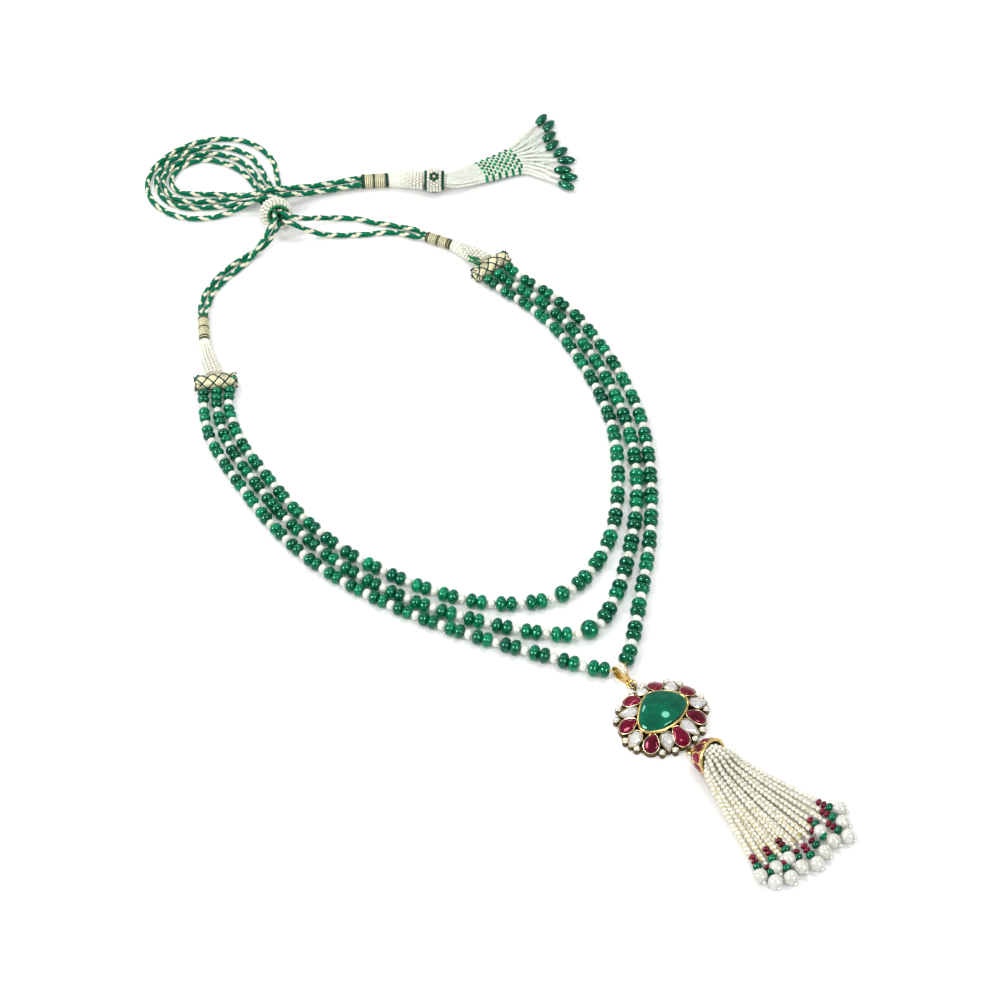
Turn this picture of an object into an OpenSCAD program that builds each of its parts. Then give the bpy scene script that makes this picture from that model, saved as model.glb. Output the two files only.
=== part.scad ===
// Layered necklace of three bead strands with a doubled silk cord, a sliding ball and a tasselled pendant.
// It lies flat: X is across the neck, Y runs from the pendant tassel to the cord, Z is up from the surface.

/* [Beads] */
// Diameter of an emerald rondelle next to the bars
emerald_small_d = 3.9; // [3.7:0.1:4]
// Diameter of an emerald rondelle at the front
emerald_large_d = 5.4; // [5:0.1:5.5]
// Thickness of a rondelle for each millimetre of its diameter
emerald_flatness = 0.62; // [0.58:0.01:0.64]
// Length of a pearl between its drilled ends for each millimetre of its diameter
pearl_flatness = 0.93; // [0.91:0.01:0.94]
// Diameter of a pearl next to the bars
pearl_small_d = 2.5; // [2.3:0.1:2.7]
// Diameter of a pearl at the front
pearl_large_d = 3; // [2.7:0.1:3.2]
// How late the beads grow on their way to the front
bead_growth = 1.2; // [1:0.1:1.5]
// Gap between neighbouring beads
bead_gap = 0.25; // [0.2:0.05:0.3]
// Diameter of the gold thread
thread_d = 0.6; // [0.4:0.1:0.7]
// Diameter of the large bead in the middle of the inner strand
inner_centre_d = 5.9; // [5.4:0.1:6.2]
// Thickness of that bead along its thread
inner_centre_length = 4.6; // [4.2:0.1:5]
// Diameter of the large bead in the middle of the middle strand
middle_centre_d = 6.5; // [6:0.1:6.8]
// Thickness of that bead along its thread
middle_centre_length = 5.6; // [5:0.1:6]

/* [Bars] */
// Length of a gold thread bar
bar_length = 13.8; // [13.4:0.2:15]
// Diameter of a bar
bar_d = 5.6; // [5.2:0.1:5.8]
// Distance of a bar from the middle of the necklace
bar_x = 53.8; // [53.6:0.1:54]
// Turn of the left bar, its outer end further back
left_bar_turn = 23; // [21:1:25]
// Turn of the right bar, its outer end further back
right_bar_turn = 8; // [6:1:10]
// Distance between two strands along a bar
strand_pitch = 4.6; // [4.5:0.1:4.7]

/* [Cords] */
// Diameter of a silk cord
cord_d = 2; // [1.6:0.1:2]
// Diameter of the wrap that holds a pair of cords
wrap_d = 3.7; // [3.5:0.1:4]
// Diameter of the sliding ball
ball_d = 11.8; // [11:0.2:12.4]
// Bore of the sliding ball
ball_bore = 6; // [5.8:0.1:6.2]
// Compass direction of the ball's bore
ball_heading = -103; // [-106:1:-100]
// Rise of the bore's front mouth
ball_rise = 30; // [28:1:32]
// Diameter of the wrap round all four cord ends
end_wrap_d = 5.2; // [5.2:0.1:5.6]
// Diameter of the barrel bead behind the end sleeve
barrel_d = 8.8; // [8.4:0.1:9.2]
// Length of the barrel bead
barrel_length = 7.1; // [6.6:0.1:7.2]
// Diameter of an end drop
drop_d = 3.5; // [3.2:0.1:3.6]
// Length of an end drop
drop_length = 6.4; // [5.8:0.1:6.6]

/* [Pendant] */
// Place of the pendant's middle across the necklace
pendant_x = 1.8; // [1.6:0.1:2]
// Place of the pendant's middle in front of the strands
pendant_y = -75.2; // [-75.4:0.1:-75]
// Turn of the pendant
pendant_turn = 3.8; // [3:0.2:4.4]
// Half width of the ellipse that the rim stones sit on
rim_half_width = 14.9; // [14.6:0.1:15.2]
// Half height of that ellipse
rim_half_height = 13.4; // [13.2:0.1:13.6]
// Number of petals, ruby and uncut diamond by turns
petal_count = 14; // [14:1:14]
// Diameter of a rim stone
rim_stone_d = 1.5; // [1.3:0.1:1.6]
// Thickness of the pendant's base plate
plate_thickness = 1.4; // [1.2:0.1:1.6]
// Height of the petal collets beside the bezel
petal_high = 4.7; // [4.4:0.1:4.8]
// Height of the petal collets at their outer ends
petal_low = 2; // [1.8:0.1:2.4]
// Height of the centre stone's bezel
bezel_height = 5.6; // [5:0.1:6]
// Height of the centre stone's crown
stone_height = 8; // [7.4:0.1:8.4]

/* [Pendant tassel] */
// Outer radius of the cap
cap_r = 6; // [5.8:0.1:6]
// Depth of the cap from its mouth to its back
cap_depth = 7.3; // [6.8:0.1:7.4]
// Wall of the cap
cap_wall = 0.8; // [0.6:0.1:0.9]
// Diameter of a large tassel pearl
tassel_pearl_d = 4.8; // [4.4:0.1:4.8]
// Diameter of a string between the tassel and its pearl
string_d = 0.8; // [0.6:0.1:0.8]

/* [Hidden] */
$fn = 32;
clearance = 0.3;
fit_gap = 0.1;
ground = 0;

STRANDS = ["inner", "middle", "outer"];
SIDES = ["left", "right"];
CORDS = ["left_a", "left_b", "right_a", "right_b"];
drop_count = 9;

// Vectors and curves

function unit(v) = v / norm(v);
function heading_vector(a) = [cos(a), sin(a), 0];
function level_side(v) = unit(cross([0, 0, 1], v));
function column(keys, route, axis) = [for (i = [0:len(route) - 1]) [keys[i], route[i][axis]]];

// Point on the smooth curve between b and c that also looks at a and d
function between(a, b, c, d, t) =
    0.5 * (2 * b + (c - a) * t + (2 * a - 5 * b + 4 * c - d) * t * t + (3 * b - a - 3 * c + d) * t * t * t);

samples = 10;
// Smooth route through all points but the first and last, which only steer it
function smooth(points) = [
    for (i = [1:len(points) - 3])
        for (j = [0:samples - 1])
            between(points[i - 1], points[i], points[i + 1], points[i + 2], j / samples),
    points[len(points) - 2]
];
function step_after(route, i) = i < len(route) - 1 ? norm(route[i + 1] - route[i]) : 0;
function running_length(route) = [for (i = 0, s = 0; i < len(route); s = s + step_after(route, i), i = i + 1) s];

// An end is closed by strips between each point of a ring and the one across from it
function end_strips(base, sides) = [for (i = [0:sides / 2 - 1])
    i == 0 ? [base, base + 1, base + sides - 1]
    : i == sides / 2 - 1 ? [base + i, base + i + 1, base + sides - i]
    : [base + i, base + i + 1, base + sides - i - 1, base + sides - i]];
function turned_over(face) = [for (i = [len(face) - 1:-1:0]) face[i]];

// A closed skin over rings that all have the same even number of points
module skin(rings) {
    sides = len(rings[0]);
    count = len(rings);
    polyhedron(
        points = [for (r = rings) each r],
        faces = concat(
            end_strips(0, sides),
            [for (k = [0:count - 2]) for (i = [0:sides - 1])
                [k * sides + i, (k + 1) * sides + i, (k + 1) * sides + (i + 1) % sides, k * sides + (i + 1) % sides]],
            [for (f = end_strips((count - 1) * sides, sides)) turned_over(f)]
        )
    );
}

// Ring of a tube at a point, square to the direction that it runs in
function tube_ring(at, along, r, sides) =
    let (side = level_side(along), up = cross(unit(along), side))
    [for (i = [0:sides - 1]) at + r * (cos(360 * i / sides) * side + sin(360 * i / sides) * up)];

// Upright oval ring that faces along a heading
function oval_ring(at, heading, width, height, sides) =
    [for (i = [0:sides - 1])
        at + width / 2 * cos(360 * i / sides) * heading_vector(heading + 90)
           + height / 2 * sin(360 * i / sides) * [0, 0, 1]];

// Round rod from one point to another
module rod(from, to, d) {
    v = to - from;
    translate(from)
        rotate([0, acos(v.z / norm(v)), atan2(v.y, v.x)])
            cylinder(d = d, h = norm(v));
}

// Wire ring in the XY plane
module wire_ring(ring_r, wire_d) {
    rotate_extrude()
        translate([ring_r, 0])
            circle(d = wire_d);
}

// Outline round two circles on the X axis, the first at the origin
function round_pair(r1, x2, r2) =
    let (open = acos((r1 - r2) / x2), steps = 9)
    concat(
        [for (i = [0:steps]) let (a = open + i * (360 - 2 * open) / steps) r1 * [cos(a), sin(a)]],
        [for (i = [0:steps]) let (a = -open + i * 2 * open / steps) [x2, 0] + r2 * [cos(a), sin(a)]]
    );

// Bars and the way the strands leave them, drawn for the right and mirrored for the left

bar_z = bar_d / 2;
// For the left, mirrored, and the right: middle and turn of the bar
bar_rows = [
    [[bar_x, 121, bar_z], left_bar_turn],
    [[bar_x, 118.9, bar_z], right_bar_turn]
];
bore_d = thread_d + 0.3;
bore_depth = 1.5;
thread_in_bar = 1.2;
bar_chamfer = 0.7;
function bar_along(side) = heading_vector(bar_rows[side][1]);
function bar_front(side) = heading_vector(bar_rows[side][1] - 90);
function bar_exit(side, place) =
    bar_rows[side][0] + place * strand_pitch * bar_along(side) + bar_z * bar_front(side);

module bar(side) {
    translate(bar_rows[side][0])
        rotate([0, 0, bar_rows[side][1]])
            difference() {
                rotate([0, 90, 0]) {
                    cylinder(d = bar_d, h = bar_length - 2 * bar_chamfer, center = true);
                    for (end = [0, 1])
                        mirror([0, 0, end])
                            translate([0, 0, bar_length / 2 - bar_chamfer])
                                cylinder(d1 = bar_d, d2 = bar_d - 2 * bar_chamfer, h = bar_chamfer);
                }
                for (place = [-1:1])
                    translate([place * strand_pitch, bore_depth - bar_z, 0])
                        rotate([90, 0, 0])
                            cylinder(d = bore_d, h = bar_z);
            }
}

// Strands: a half runs from its bar to the middle of the necklace, drawn for the right

// For each strand: x and y of the points near the left bar, near the right bar, and on to the middle
strand_rows = [
    [
        [[54.7, 110.4], [57.8, 100.4], [58.9, 91]],
        [[51.5, 109], [55, 100.4], [57.2, 92]],
        [[58.7, 80], [57.3, 58], [52.2, 36], [41.9, 15.5], [28.5, -2.5], [14.5, -13], [0, -17.3]]
    ],
    [
        [[58.8, 110.9], [62, 100.7], [63.3, 91]],
        [[55.9, 109.4], [59.5, 100.6], [61.7, 92]],
        [[63.3, 80], [62.1, 58], [56.6, 33.2], [46.5, 11], [32.5, -8.5], [15, -26.5], [0, -34.4]]
    ],
    [
        [[63.2, 112], [66.8, 101.5], [67.9, 91]],
        [[60.4, 109.8], [64, 101], [66.3, 92]],
        [[68.1, 80], [67, 56], [62, 33], [51, 9.5], [36, -13.5], [18, -35.3], [9.4, -45.4], [4.6, -50],
            [0, -52.6]]
    ]
];
end_height = [inner_centre_d / 2, middle_centre_d / 2, emerald_large_d / 2];
end_clear = [inner_centre_length / 2 + 0.2, middle_centre_length / 2 + 0.2, 3.2];

EMERALD = 1;
PEARL = 0;
GROUP = [EMERALD, EMERALD, PEARL];
// Beads from the bar to the middle, where the left middle strand lacks a pearl
function beads(strand, side) =
    strand == 0 ? [for (i = [1:18]) each GROUP]
    : strand == 2 ? concat([for (i = [1:21]) each GROUP], [EMERALD, EMERALD])
    : side == 0 ? concat([EMERALD], [for (i = [1:20]) each i == 7 ? [EMERALD, EMERALD] : GROUP])
    : concat([EMERALD], [for (i = [1:19]) each GROUP]);

function grown(small, large, f) = small + (large - small) * pow(f, bead_growth);
function bead_d(kind, f) =
    kind == EMERALD ? grown(emerald_small_d, emerald_large_d, f) : grown(pearl_small_d, pearl_large_d, f);
function bead_length(kind, f) = bead_d(kind, f) * (kind == EMERALD ? emerald_flatness : pearl_flatness);
function sum(list) = list * [for (v = list) 1];
// Distance over which the thread comes down from the bar
come_down = 10;
// Part of the thread that is left out inside each bead, so that its pieces don't cross
thread_rest = 0.2;
// How far the outer thread dips into the bail
dip_in_bail = 2.1;

module rondelle(d, length) {
    rotate([0, 90, 0])
        intersection() {
            sphere(d = d);
            cube([d + 1, d + 1, length], center = true);
        }
}

module thread_piece(from, to) {
    way = unit(to - from);
    rod(from + thread_rest * way, to - thread_rest * way, thread_d);
}

module strand(index, side) {
    place = index - 1;
    first = bar_exit(side, place);
    points = concat(strand_rows[index][side], strand_rows[index][2]);
    last = points[len(points) - 1];
    before = points[len(points) - 2];
    behind_bar = first - 8 * bar_front(side);
    route = smooth(concat(
        [[behind_bar.x, behind_bar.y], [first.x, first.y]], points, [[-before.x, before.y]]
    ));
    lengths = running_length(route);
    x_at = column(lengths, route, 0);
    y_at = column(lengths, route, 1);

    kinds = beads(index, side);
    count = len(kinds);
    start_clear = 0.35;
    room = lengths[len(lengths) - 1] - start_clear - end_clear[index] - (count - 1) * bead_gap;
    wanted = [for (i = [0:count - 1]) bead_length(kinds[i], i / (count - 1))];
    scale = room / sum(wanted);
    starts = [for (i = 0, s = start_clear; i < count; s = s + wanted[i] * scale + bead_gap, i = i + 1) s];
    middles = [for (i = [0:count - 1]) starts[i] + wanted[i] * scale / 2];
    rests = [for (i = [0:count - 1]) scale * bead_d(EMERALD, i / (count - 1)) / 2];
    drops = [for (i = [0:count - 1]) max(0, 1 - middles[i] / come_down)];
    // The bead beside a centre bead is lifted to its thread
    lifted = index < 2 ? count - 1 : count;
    centres = [for (i = [0:count - 1])
        i == lifted ? [lookup(middles[i], x_at), last.y, end_height[index]]
        : [lookup(middles[i], x_at), lookup(middles[i], y_at), rests[i] + (bar_z - rests[i]) * drops[i]]];

    // Each bead faces along its thread
    for (i = [0:count - 1]) {
        ahead = [lookup(middles[i] + 0.5, x_at), lookup(middles[i] + 0.5, y_at)];
        behind = [lookup(middles[i] - 0.5, x_at), lookup(middles[i] - 0.5, y_at)];
        turn = i == lifted ? 180 : atan2(ahead.y - behind.y, ahead.x - behind.x);
        translate(centres[i])
            rotate([0, 0, turn])
                color(kinds[i] == EMERALD ? "seagreen" : "ivory")
                    rondelle(bead_d(kinds[i], i / (count - 1)) * scale, wanted[i] * scale);
    }
    inside_bar = first - (thread_in_bar + thread_rest) * bar_front(side);
    beyond = [-thread_d, last.y - (index < 2 ? 0 : dip_in_bail), end_height[index]];
    color("gold") {
        thread_piece(inside_bar, centres[0]);
        for (i = [0:count - 2])
            thread_piece(centres[i], centres[i + 1]);
        // The two halves of a strand meet face to face in the middle
        difference() {
            thread_piece(centres[count - 1], beyond);
            translate([-5, last.y - 5, 0])
                cube([5, 10, 10]);
        }
    }
}

module centre_bead(index, d, length) {
    points = strand_rows[index][2];
    color("seagreen")
        translate([0, points[len(points) - 1].y, d / 2])
            difference() {
                rondelle(d, length);
                rotate([0, 90, 0])
                    cylinder(d = bore_d, h = length + 1, center = true);
            }
}

// Sleeves and wraps behind the bars, drawn for the right and mirrored for the left

oval_sides = 24;
wrap_z = wrap_d / 2;
// For the left, mirrored, and the right: x and y of the wrap's cord end, then of its sleeve end
wrap_rows = [
    [[43.4, 149.6], [48, 140.2]],
    [[42.1, 143.3], [47.6, 135.6]]
];
// Sections of a sleeve from the wrap to the bar: x, y, z, heading, width, height
sleeve_rows = [
    [[48.15, 139.9, 1.85, -64, 3.8, 3.6], [49.6, 135.8, 2.1, -71, 4.6, 3.9], [51.1, 130.6, 2.4, -75, 5.5, 4.3],
        [52.5, 124, 2.8, -67, 6.3, 4.6]],
    [[47.8, 135.35, 1.85, -55, 3.8, 3.6], [49.5, 131.6, 2.1, -65, 4.7, 3.9], [51.3, 127.4, 2.4, -67, 6, 4.3],
        [53.35, 122, 2.8, -82, 7, 4.6]]
];

module sleeve(side) {
    color("white")
        skin([for (r = sleeve_rows[side]) oval_ring([r[0], r[1], r[2]], r[3], r[4], r[5], oval_sides)]);
}

module wrap(side) {
    row = wrap_rows[side];
    color("khaki")
        rod([row[0].x, row[0].y, wrap_z], [row[1].x, row[1].y, wrap_z], wrap_d);
}

// Side 0 is the left and side 1 the right
module on_side(side) {
    mirror([1 - side, 0, 0])
        children();
}

// Sliding ball

ball_middle = [0.5, 176.9, ball_d / 2];
ball_along = [cos(ball_rise) * cos(ball_heading), cos(ball_rise) * sin(ball_heading), sin(ball_rise)];
ball_side = level_side(ball_along);
ball_up = cross(ball_side, ball_along) * -1;

module slide_ball() {
    color("whitesmoke")
        difference() {
            translate(ball_middle)
                sphere(d = ball_d);
            rod(ball_middle - ball_d * ball_along, ball_middle + ball_d * ball_along, ball_bore);
        }
}

// Silk cords: wrap, ball, loop, bundle and end wrap

cord_sides = 8;
in_ball = 1.2;
in_bundle = 1.12;
in_wrap = 1.03;
end_gap = 0.02;
ball_stations = [4.6, 0, -4.8];
// Middle line of the four cords from behind the ball to the end wrap
bundle_line = [[-2.2, 188.5, 4.6], [3.6, 186.4, 5.6], [9.9, 184.2, 5.2], [16.9, 182.7, 3.5],
    [23.7, 181.2, 2.7], [29.8, 179.3, 2.6]];
end_wrap_from = [35.2, 177.5, 2.6];
end_wrap_to = [43.8, 173.3, 2.6];
end_wrap_along = unit(end_wrap_to - end_wrap_from);
bundle = concat(bundle_line, [end_wrap_from - 2 * end_wrap_along, end_wrap_from - end_gap * end_wrap_along]);
// The bundle's square of cords leans back by this angle
bundle_lean = 39;

// Side of the wrap, side and layer in the ball, across and along the lean in the bundle
cord_slots = [
    [-1, -1, 1, 1, 1],
    [1, -1, -1, -1, 1],
    [-1, 1, 1, 1, -1],
    [1, 1, -1, -1, -1]
];
// From the wrap to the ball
cord_starts = [
    [[-38.9, 154.6, 1.2], [-34.2, 159.2, 1.1], [-28, 162.2, 1.1], [-21.6, 164.2, 1.1], [-15.6, 165.9, 2.2],
        [-10.9, 167.2, 5.4], [-6.9, 168.6, 8.6], [-3.4, 170.8, 10.1]],
    [[-40.8, 156.1, 1.2], [-35.8, 160.9, 1.1], [-29.2, 164.6, 1.1], [-22.4, 166.9, 1.1], [-16, 168.2, 1.1],
        [-11.6, 167.6, 2.1], [-8, 167.5, 4.4], [-4.8, 168.2, 6.8], [-2.5, 170.1, 7.7]],
    [[40.8, 148.1, 1.4], [37.4, 152, 1.1], [33.6, 155.8, 1.1], [29.6, 159.4, 1.1], [25.6, 163.8, 1.1],
        [20.6, 167.2, 1.2], [14.6, 168.6, 3.2], [9.8, 168.3, 5.9], [5.4, 168.2, 8.5], [2.7, 169.2, 9.9],
        [1.1, 171.3, 9.9]],
    [[38.6, 145.9, 1.4], [35.8, 149.4, 1.1], [32, 152.4, 1.1], [26.8, 154.8, 1.1], [21.6, 157.2, 1.1],
        [17, 159.8, 1.1], [12.8, 162.2, 1.3], [8.8, 164.2, 3], [5.4, 165.6, 5.4], [2.7, 167.4, 7.4],
        [1, 169.9, 7.8]]
];
// From the ball round the loop and back to the bundle
cord_loops = [
    [[1.6, 183.4, 3.3], [2.7, 186.2, 1.5], [3.7, 190.6, 1.1], [4.7, 196.4, 1.1], [4.9, 202.4, 1.1],
        [4, 208.6, 1.1], [0.7, 214.4, 1.1], [-4.4, 218.8, 1.1], [-11, 220.5, 1.1], [-17.8, 219.7, 1.1],
        [-23.4, 216.8, 1.1], [-25.9, 211.3, 1.1], [-25, 205.4, 1.1], [-20.8, 201, 1.1], [-14.8, 197.8, 1.1],
        [-9.6, 194.4, 2.3], [-5.7, 191, 4.8]],
    [[0, 183.9, 1.2], [0.7, 188.6, 1.1], [2, 194.6, 1.1], [2.2, 201, 1.1], [0.9, 207, 1.1], [-2.2, 212.2, 1.1],
        [-6.6, 216.6, 1.1], [-12.2, 218.1, 1.1], [-17.9, 217.1, 1.1], [-22.3, 213.4, 1.1], [-22.6, 208.3, 1.1],
        [-19, 204.4, 1.1], [-13.4, 201, 1.1], [-8.4, 197.5, 1.2], [-5, 193.8, 2.5]],
    [[4.7, 182.6, 3.3], [7.2, 185, 1.3], [9.2, 189.6, 1.1], [11, 195.8, 1.1], [13.4, 202, 1.1],
        [13.4, 208.8, 1.1], [11, 215.6, 1.1], [6, 221, 1.1], [-1, 224.6, 1.1], [-9, 226, 1.1],
        [-17.2, 225.2, 1.1], [-24.6, 222.2, 1.1], [-30, 216.8, 1.1], [-32.4, 209.6, 1.1], [-31, 202.2, 1.1],
        [-26.8, 195.8, 1.1], [-20, 191.4, 1.1], [-13.4, 189.4, 1.4], [-7.6, 188, 3]],
    [[4, 183.9, 1.1], [6, 188.4, 1.1], [7.1, 194.6, 1.1], [8, 202, 1.1], [8, 209, 1.1], [5, 215.4, 1.1],
        [-0.2, 220.2, 1.1], [-7.2, 222.9, 1.1], [-14.4, 223.2, 1.1], [-21, 221.4, 1.1], [-26, 217.2, 1.1],
        [-28.4, 211.2, 1.1], [-27.6, 204.8, 1.1], [-23.4, 199.2, 1.1], [-16.4, 195.3, 1.1], [-10, 192.2, 1.3],
        [-5.6, 190, 2.3]]
];

// A cord leaves its wrap side by side with its partner
function wrap_part(i) =
    let (
        flip = i < 2 ? -1 : 1,
        row = wrap_rows[i < 2 ? 0 : 1],
        from = [flip * row[0].x, row[0].y, wrap_z],
        along = unit([flip * (row[0].x - row[1].x), row[0].y - row[1].y, 0]),
        at = from + cord_slots[i][0] * in_wrap * level_side(along)
    )
    [at + end_gap * along, at + 1.6 * along];

function ball_part(i) = [for (t = ball_stations)
    ball_middle + t * ball_along + in_ball * (cord_slots[i][1] * ball_side + cord_slots[i][2] * ball_up)];

function bundle_part(i) =
    let (last = len(bundle) - 1)
    [for (k = [0:last])
        let (
            along = k > last - 2 ? end_wrap_along : bundle[k + 1] - bundle[max(k - 1, 0)],
            side = level_side(along),
            up = cross(unit(along), side),
            toward = cos(bundle_lean) * up - sin(bundle_lean) * side,
            away = cos(bundle_lean) * side + sin(bundle_lean) * up
        )
        bundle[k] + in_bundle * (cord_slots[i][3] * toward + cord_slots[i][4] * away)];

module cord(i) {
    route = concat(wrap_part(i), cord_starts[i], ball_part(i), cord_loops[i], bundle_part(i));
    last = len(route) - 1;
    color("darkgreen")
        skin([for (k = [0:last])
            let (along = k == 0 ? route[1] - route[0]
                : k == last ? end_wrap_along
                : unit(route[k] - route[k - 1]) + unit(route[k + 1] - route[k]))
            tube_ring(route[k], along, cord_d / 2, cord_sides)]);
}

// Cord end: wrap, sleeve, barrel, strings and drops

end_heading = -31.5;
end_along = heading_vector(end_heading);
barrel_from = [53.9, 165.2, barrel_d / 2];
recess_d = 6;
recess_depth = 2;
// Sections of the end sleeve: x, y, z, heading, width, height
end_sleeve_rows = [[44.1, 173.1, 2.6, -28, 4.6, 4.6], [46.6, 171.5, 2.9, -34, 5.5, 5.2],
    [49.6, 169.2, 3.4, -37, 6.2, 5.8], [53.6, 165.5, 4.1, -31.5, 6.6, 6.4]];
fan_origin = [50, 160.8, 0];
// Sections of the end strings: distance from the fan's origin, middle heading, half angle, z, height
fan_rows = [[12, -3, 12.5, 4.2, 4.8], [17, -3, 11.5, 3.3, 4.6], [24, -3, 10.2, 2.6, 3.8],
    [37.5, -3.5, 9.2, 2, 3.2], [43, -5, 12.6, 1.8, 2.8], [47.5, -6.9, 16.6, 1.6, 2.4]];
fan_end = fan_rows[len(fan_rows) - 1];
// Drops: x, y and heading of the outer tip
drop_rows = [[106.3, 171.6, 25], [106.9, 167.6, 22], [104.3, 163, 11], [103, 158.7, 12], [103.8, 154.4, 6],
    [103.6, 149.8, -27], [100, 146.4, -30], [100, 142.3, -30], [97.1, 139.2, -56]];

// Flat ring of a fan that bends round the fan's origin
function fan_ring(origin, row, sides) =
    [for (i = [0:sides - 1])
        let (across = cos(360 * i / sides), rise = sin(360 * i / sides))
        origin + row[0] * heading_vector(row[1] + row[2] * across) + [0, 0, row[3] + row[4] / 2 * rise]];

module end_wrap() {
    color("khaki")
        rod(end_wrap_from, end_wrap_to, end_wrap_d);
}

module end_sleeve() {
    color("white")
        skin([for (r = end_sleeve_rows) oval_ring([r[0], r[1], r[2]], r[3], r[4], r[5], oval_sides)]);
}

module end_barrel() {
    to = barrel_from + barrel_length * end_along;
    color("white")
        difference() {
            rod(barrel_from, to, barrel_d);
            rod(to - recess_depth * end_along, to + end_along, recess_d);
        }
}

module end_strings() {
    inside = barrel_from + (barrel_length - recess_depth + clearance) * end_along;
    mouth = barrel_from + (barrel_length + 0.5) * end_along;
    color("honeydew") {
        skin(concat(
            [oval_ring(inside, end_heading, 5, 5, oval_sides), oval_ring(mouth, end_heading, 5.2, 5, oval_sides)],
            [for (row = fan_rows) fan_ring(fan_origin, row, oval_sides)]
        ));
        for (row = drop_rows) {
            tip = [row[0], row[1], drop_d / 2] - (drop_length / 2 + 0.2) * heading_vector(row[2]);
            bearing = atan2(tip.y - fan_origin.y, tip.x - fan_origin.x);
            edge = fan_end[2] - 1.5;
            start = fan_end[1] + max(-edge, min(edge, bearing - fan_end[1]));
            rod(fan_origin + (fan_end[0] - 1.5) * heading_vector(start) + [0, 0, fan_end[3]], tip, string_d);
        }
    }
}

// A drop is pointed at both ends, on the outline of two arcs
module end_drop(i) {
    row = drop_rows[i - 1];
    arc_r = (pow(drop_length, 2) + pow(drop_d, 2)) / (4 * drop_d);
    open = asin(drop_length / 2 / arc_r);
    color("seagreen")
        translate([row[0], row[1], drop_d / 2])
            rotate([0, 90, row[2]])
                rotate_extrude()
                    polygon([for (t = [-6:6])
                        let (a = open * t / 6)
                        [abs(t) == 6 ? 0 : arc_r * cos(a) - (arc_r - drop_d / 2), arc_r * sin(a)]]);
}

// Pendant, drawn about its own middle

module in_pendant() {
    translate([pendant_x, pendant_y, ground])
        rotate([0, 0, pendant_turn])
            children();
}

bezel_wall = 0.9;
collet_wall = 0.35;
stone_seat = 1.4;
// Reach of the stone's edge from the pendant's middle, at even steps round it from the top
stone_reaches = [7.5, 7, 6.6, 6.5, 6.5, 6.9, 7.6, 8.5, 9.2, 8.9, 8, 7.2, 6.5, 6,
    5.8, 5.7, 5.8, 6.1, 6.7, 7.5, 8.5, 8.8, 8.5, 8, 7.6, 7.3, 7.2, 7.3];
reach_count = len(stone_reaches);
function stone_point(i, margin) =
    let (a = 90 + 360 * i / reach_count)
    (stone_reaches[(i + reach_count) % reach_count] + margin) * [cos(a), sin(a)];
function ellipse_reach(half_x, half_y, a) = half_x * half_y / norm([half_y * cos(a), half_x * sin(a)]);

// Smooth outline of the stone, made larger all round by a margin
module stone_outline(margin, height) {
    ring = smooth([for (i = [-1:reach_count + 1]) stone_point(i, margin)]);
    linear_extrude(height)
        polygon([for (i = [0:samples / 2:len(ring) - 2]) ring[i]]);
}

function petal_angle(k) = 90 + 360 * k / petal_count;
function is_diamond(k) = k % 2 == 0;
ruby_in_r = 1.3;
ruby_out_r = 2.45;
diamond_in_r = 2.1;
diamond_out_r = 0.5;
// Reach of each petal's collet from the pendant's middle
petal_ends = [13.6, 13.9, 13.7, 14.8, 15.6, 15, 13.5, 13.8, 13.8, 14.5, 15.9, 15.5, 14.9, 14.3];
petal_seat = 0.9;
// Petals fall from the bezel toward the rim
petal_raise = 0.4;
function petal_from(k) = stone_reaches[reach_count / petal_count * k] + bezel_wall + collet_wall + fit_gap;
function petal_to(k) = petal_ends[k] - collet_wall;
function petal_length(k) = petal_to(k) - petal_from(k);
// Half the length bounds the round ends where the petal is short
function petal_radii(k) =
    let (most = petal_length(k) * 0.44)
    is_diamond(k) ? [min(diamond_in_r, most), diamond_out_r] : [min(ruby_in_r, most * 0.6), min(ruby_out_r, most)];

// Outline of a petal, made larger all round by a margin
module petal_outline(k, margin, height) {
    r = petal_radii(k);
    rotate([0, 0, petal_angle(k)])
        translate([petal_from(k) + r[0], 0, 0])
            linear_extrude(height)
                polygon(round_pair(r[0] + margin, petal_length(k) - r[0] - r[1], r[1] + margin));
}

// Block of a petal's outline from a floor up to its falling top
module petal_block(k, margin, floor_z, raise) {
    fall = atan((petal_high - petal_low) / petal_length(k));
    intersection() {
        translate([0, 0, floor_z])
            petal_outline(k, margin, petal_high + 1);
        rotate([0, 0, petal_angle(k)])
            translate([petal_from(k), 0, petal_high + raise])
                rotate([0, fall, 0])
                    translate([-10, -10, -20])
                        cube([30, 20, 20]);
    }
}

rim_cup_wall = 0.3;
rim_cup_height = 2.2;
rim_stone_height = 2.5;
rim_spread = 9;
rim_places = [for (k = [0:2:petal_count - 1]) for (s = [-1, 1])
    let (a = petal_angle(k) + s * rim_spread) ellipse_reach(rim_half_width, rim_half_height, a) * [cos(a), sin(a)]];

loop_r = 1;
loop_wire = 0.6;
loop_z = 1.6;
top_loop_y = 14.7;
bottom_loop_y = -14.9;

function pendant_point(y) =
    [pendant_x - y * sin(pendant_turn), pendant_y + y * cos(pendant_turn), loop_z];

module pendant_loop(y) {
    translate([0, y, loop_z])
        rotate([0, 90, 0])
            wire_ring(loop_r, loop_wire);
}

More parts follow.
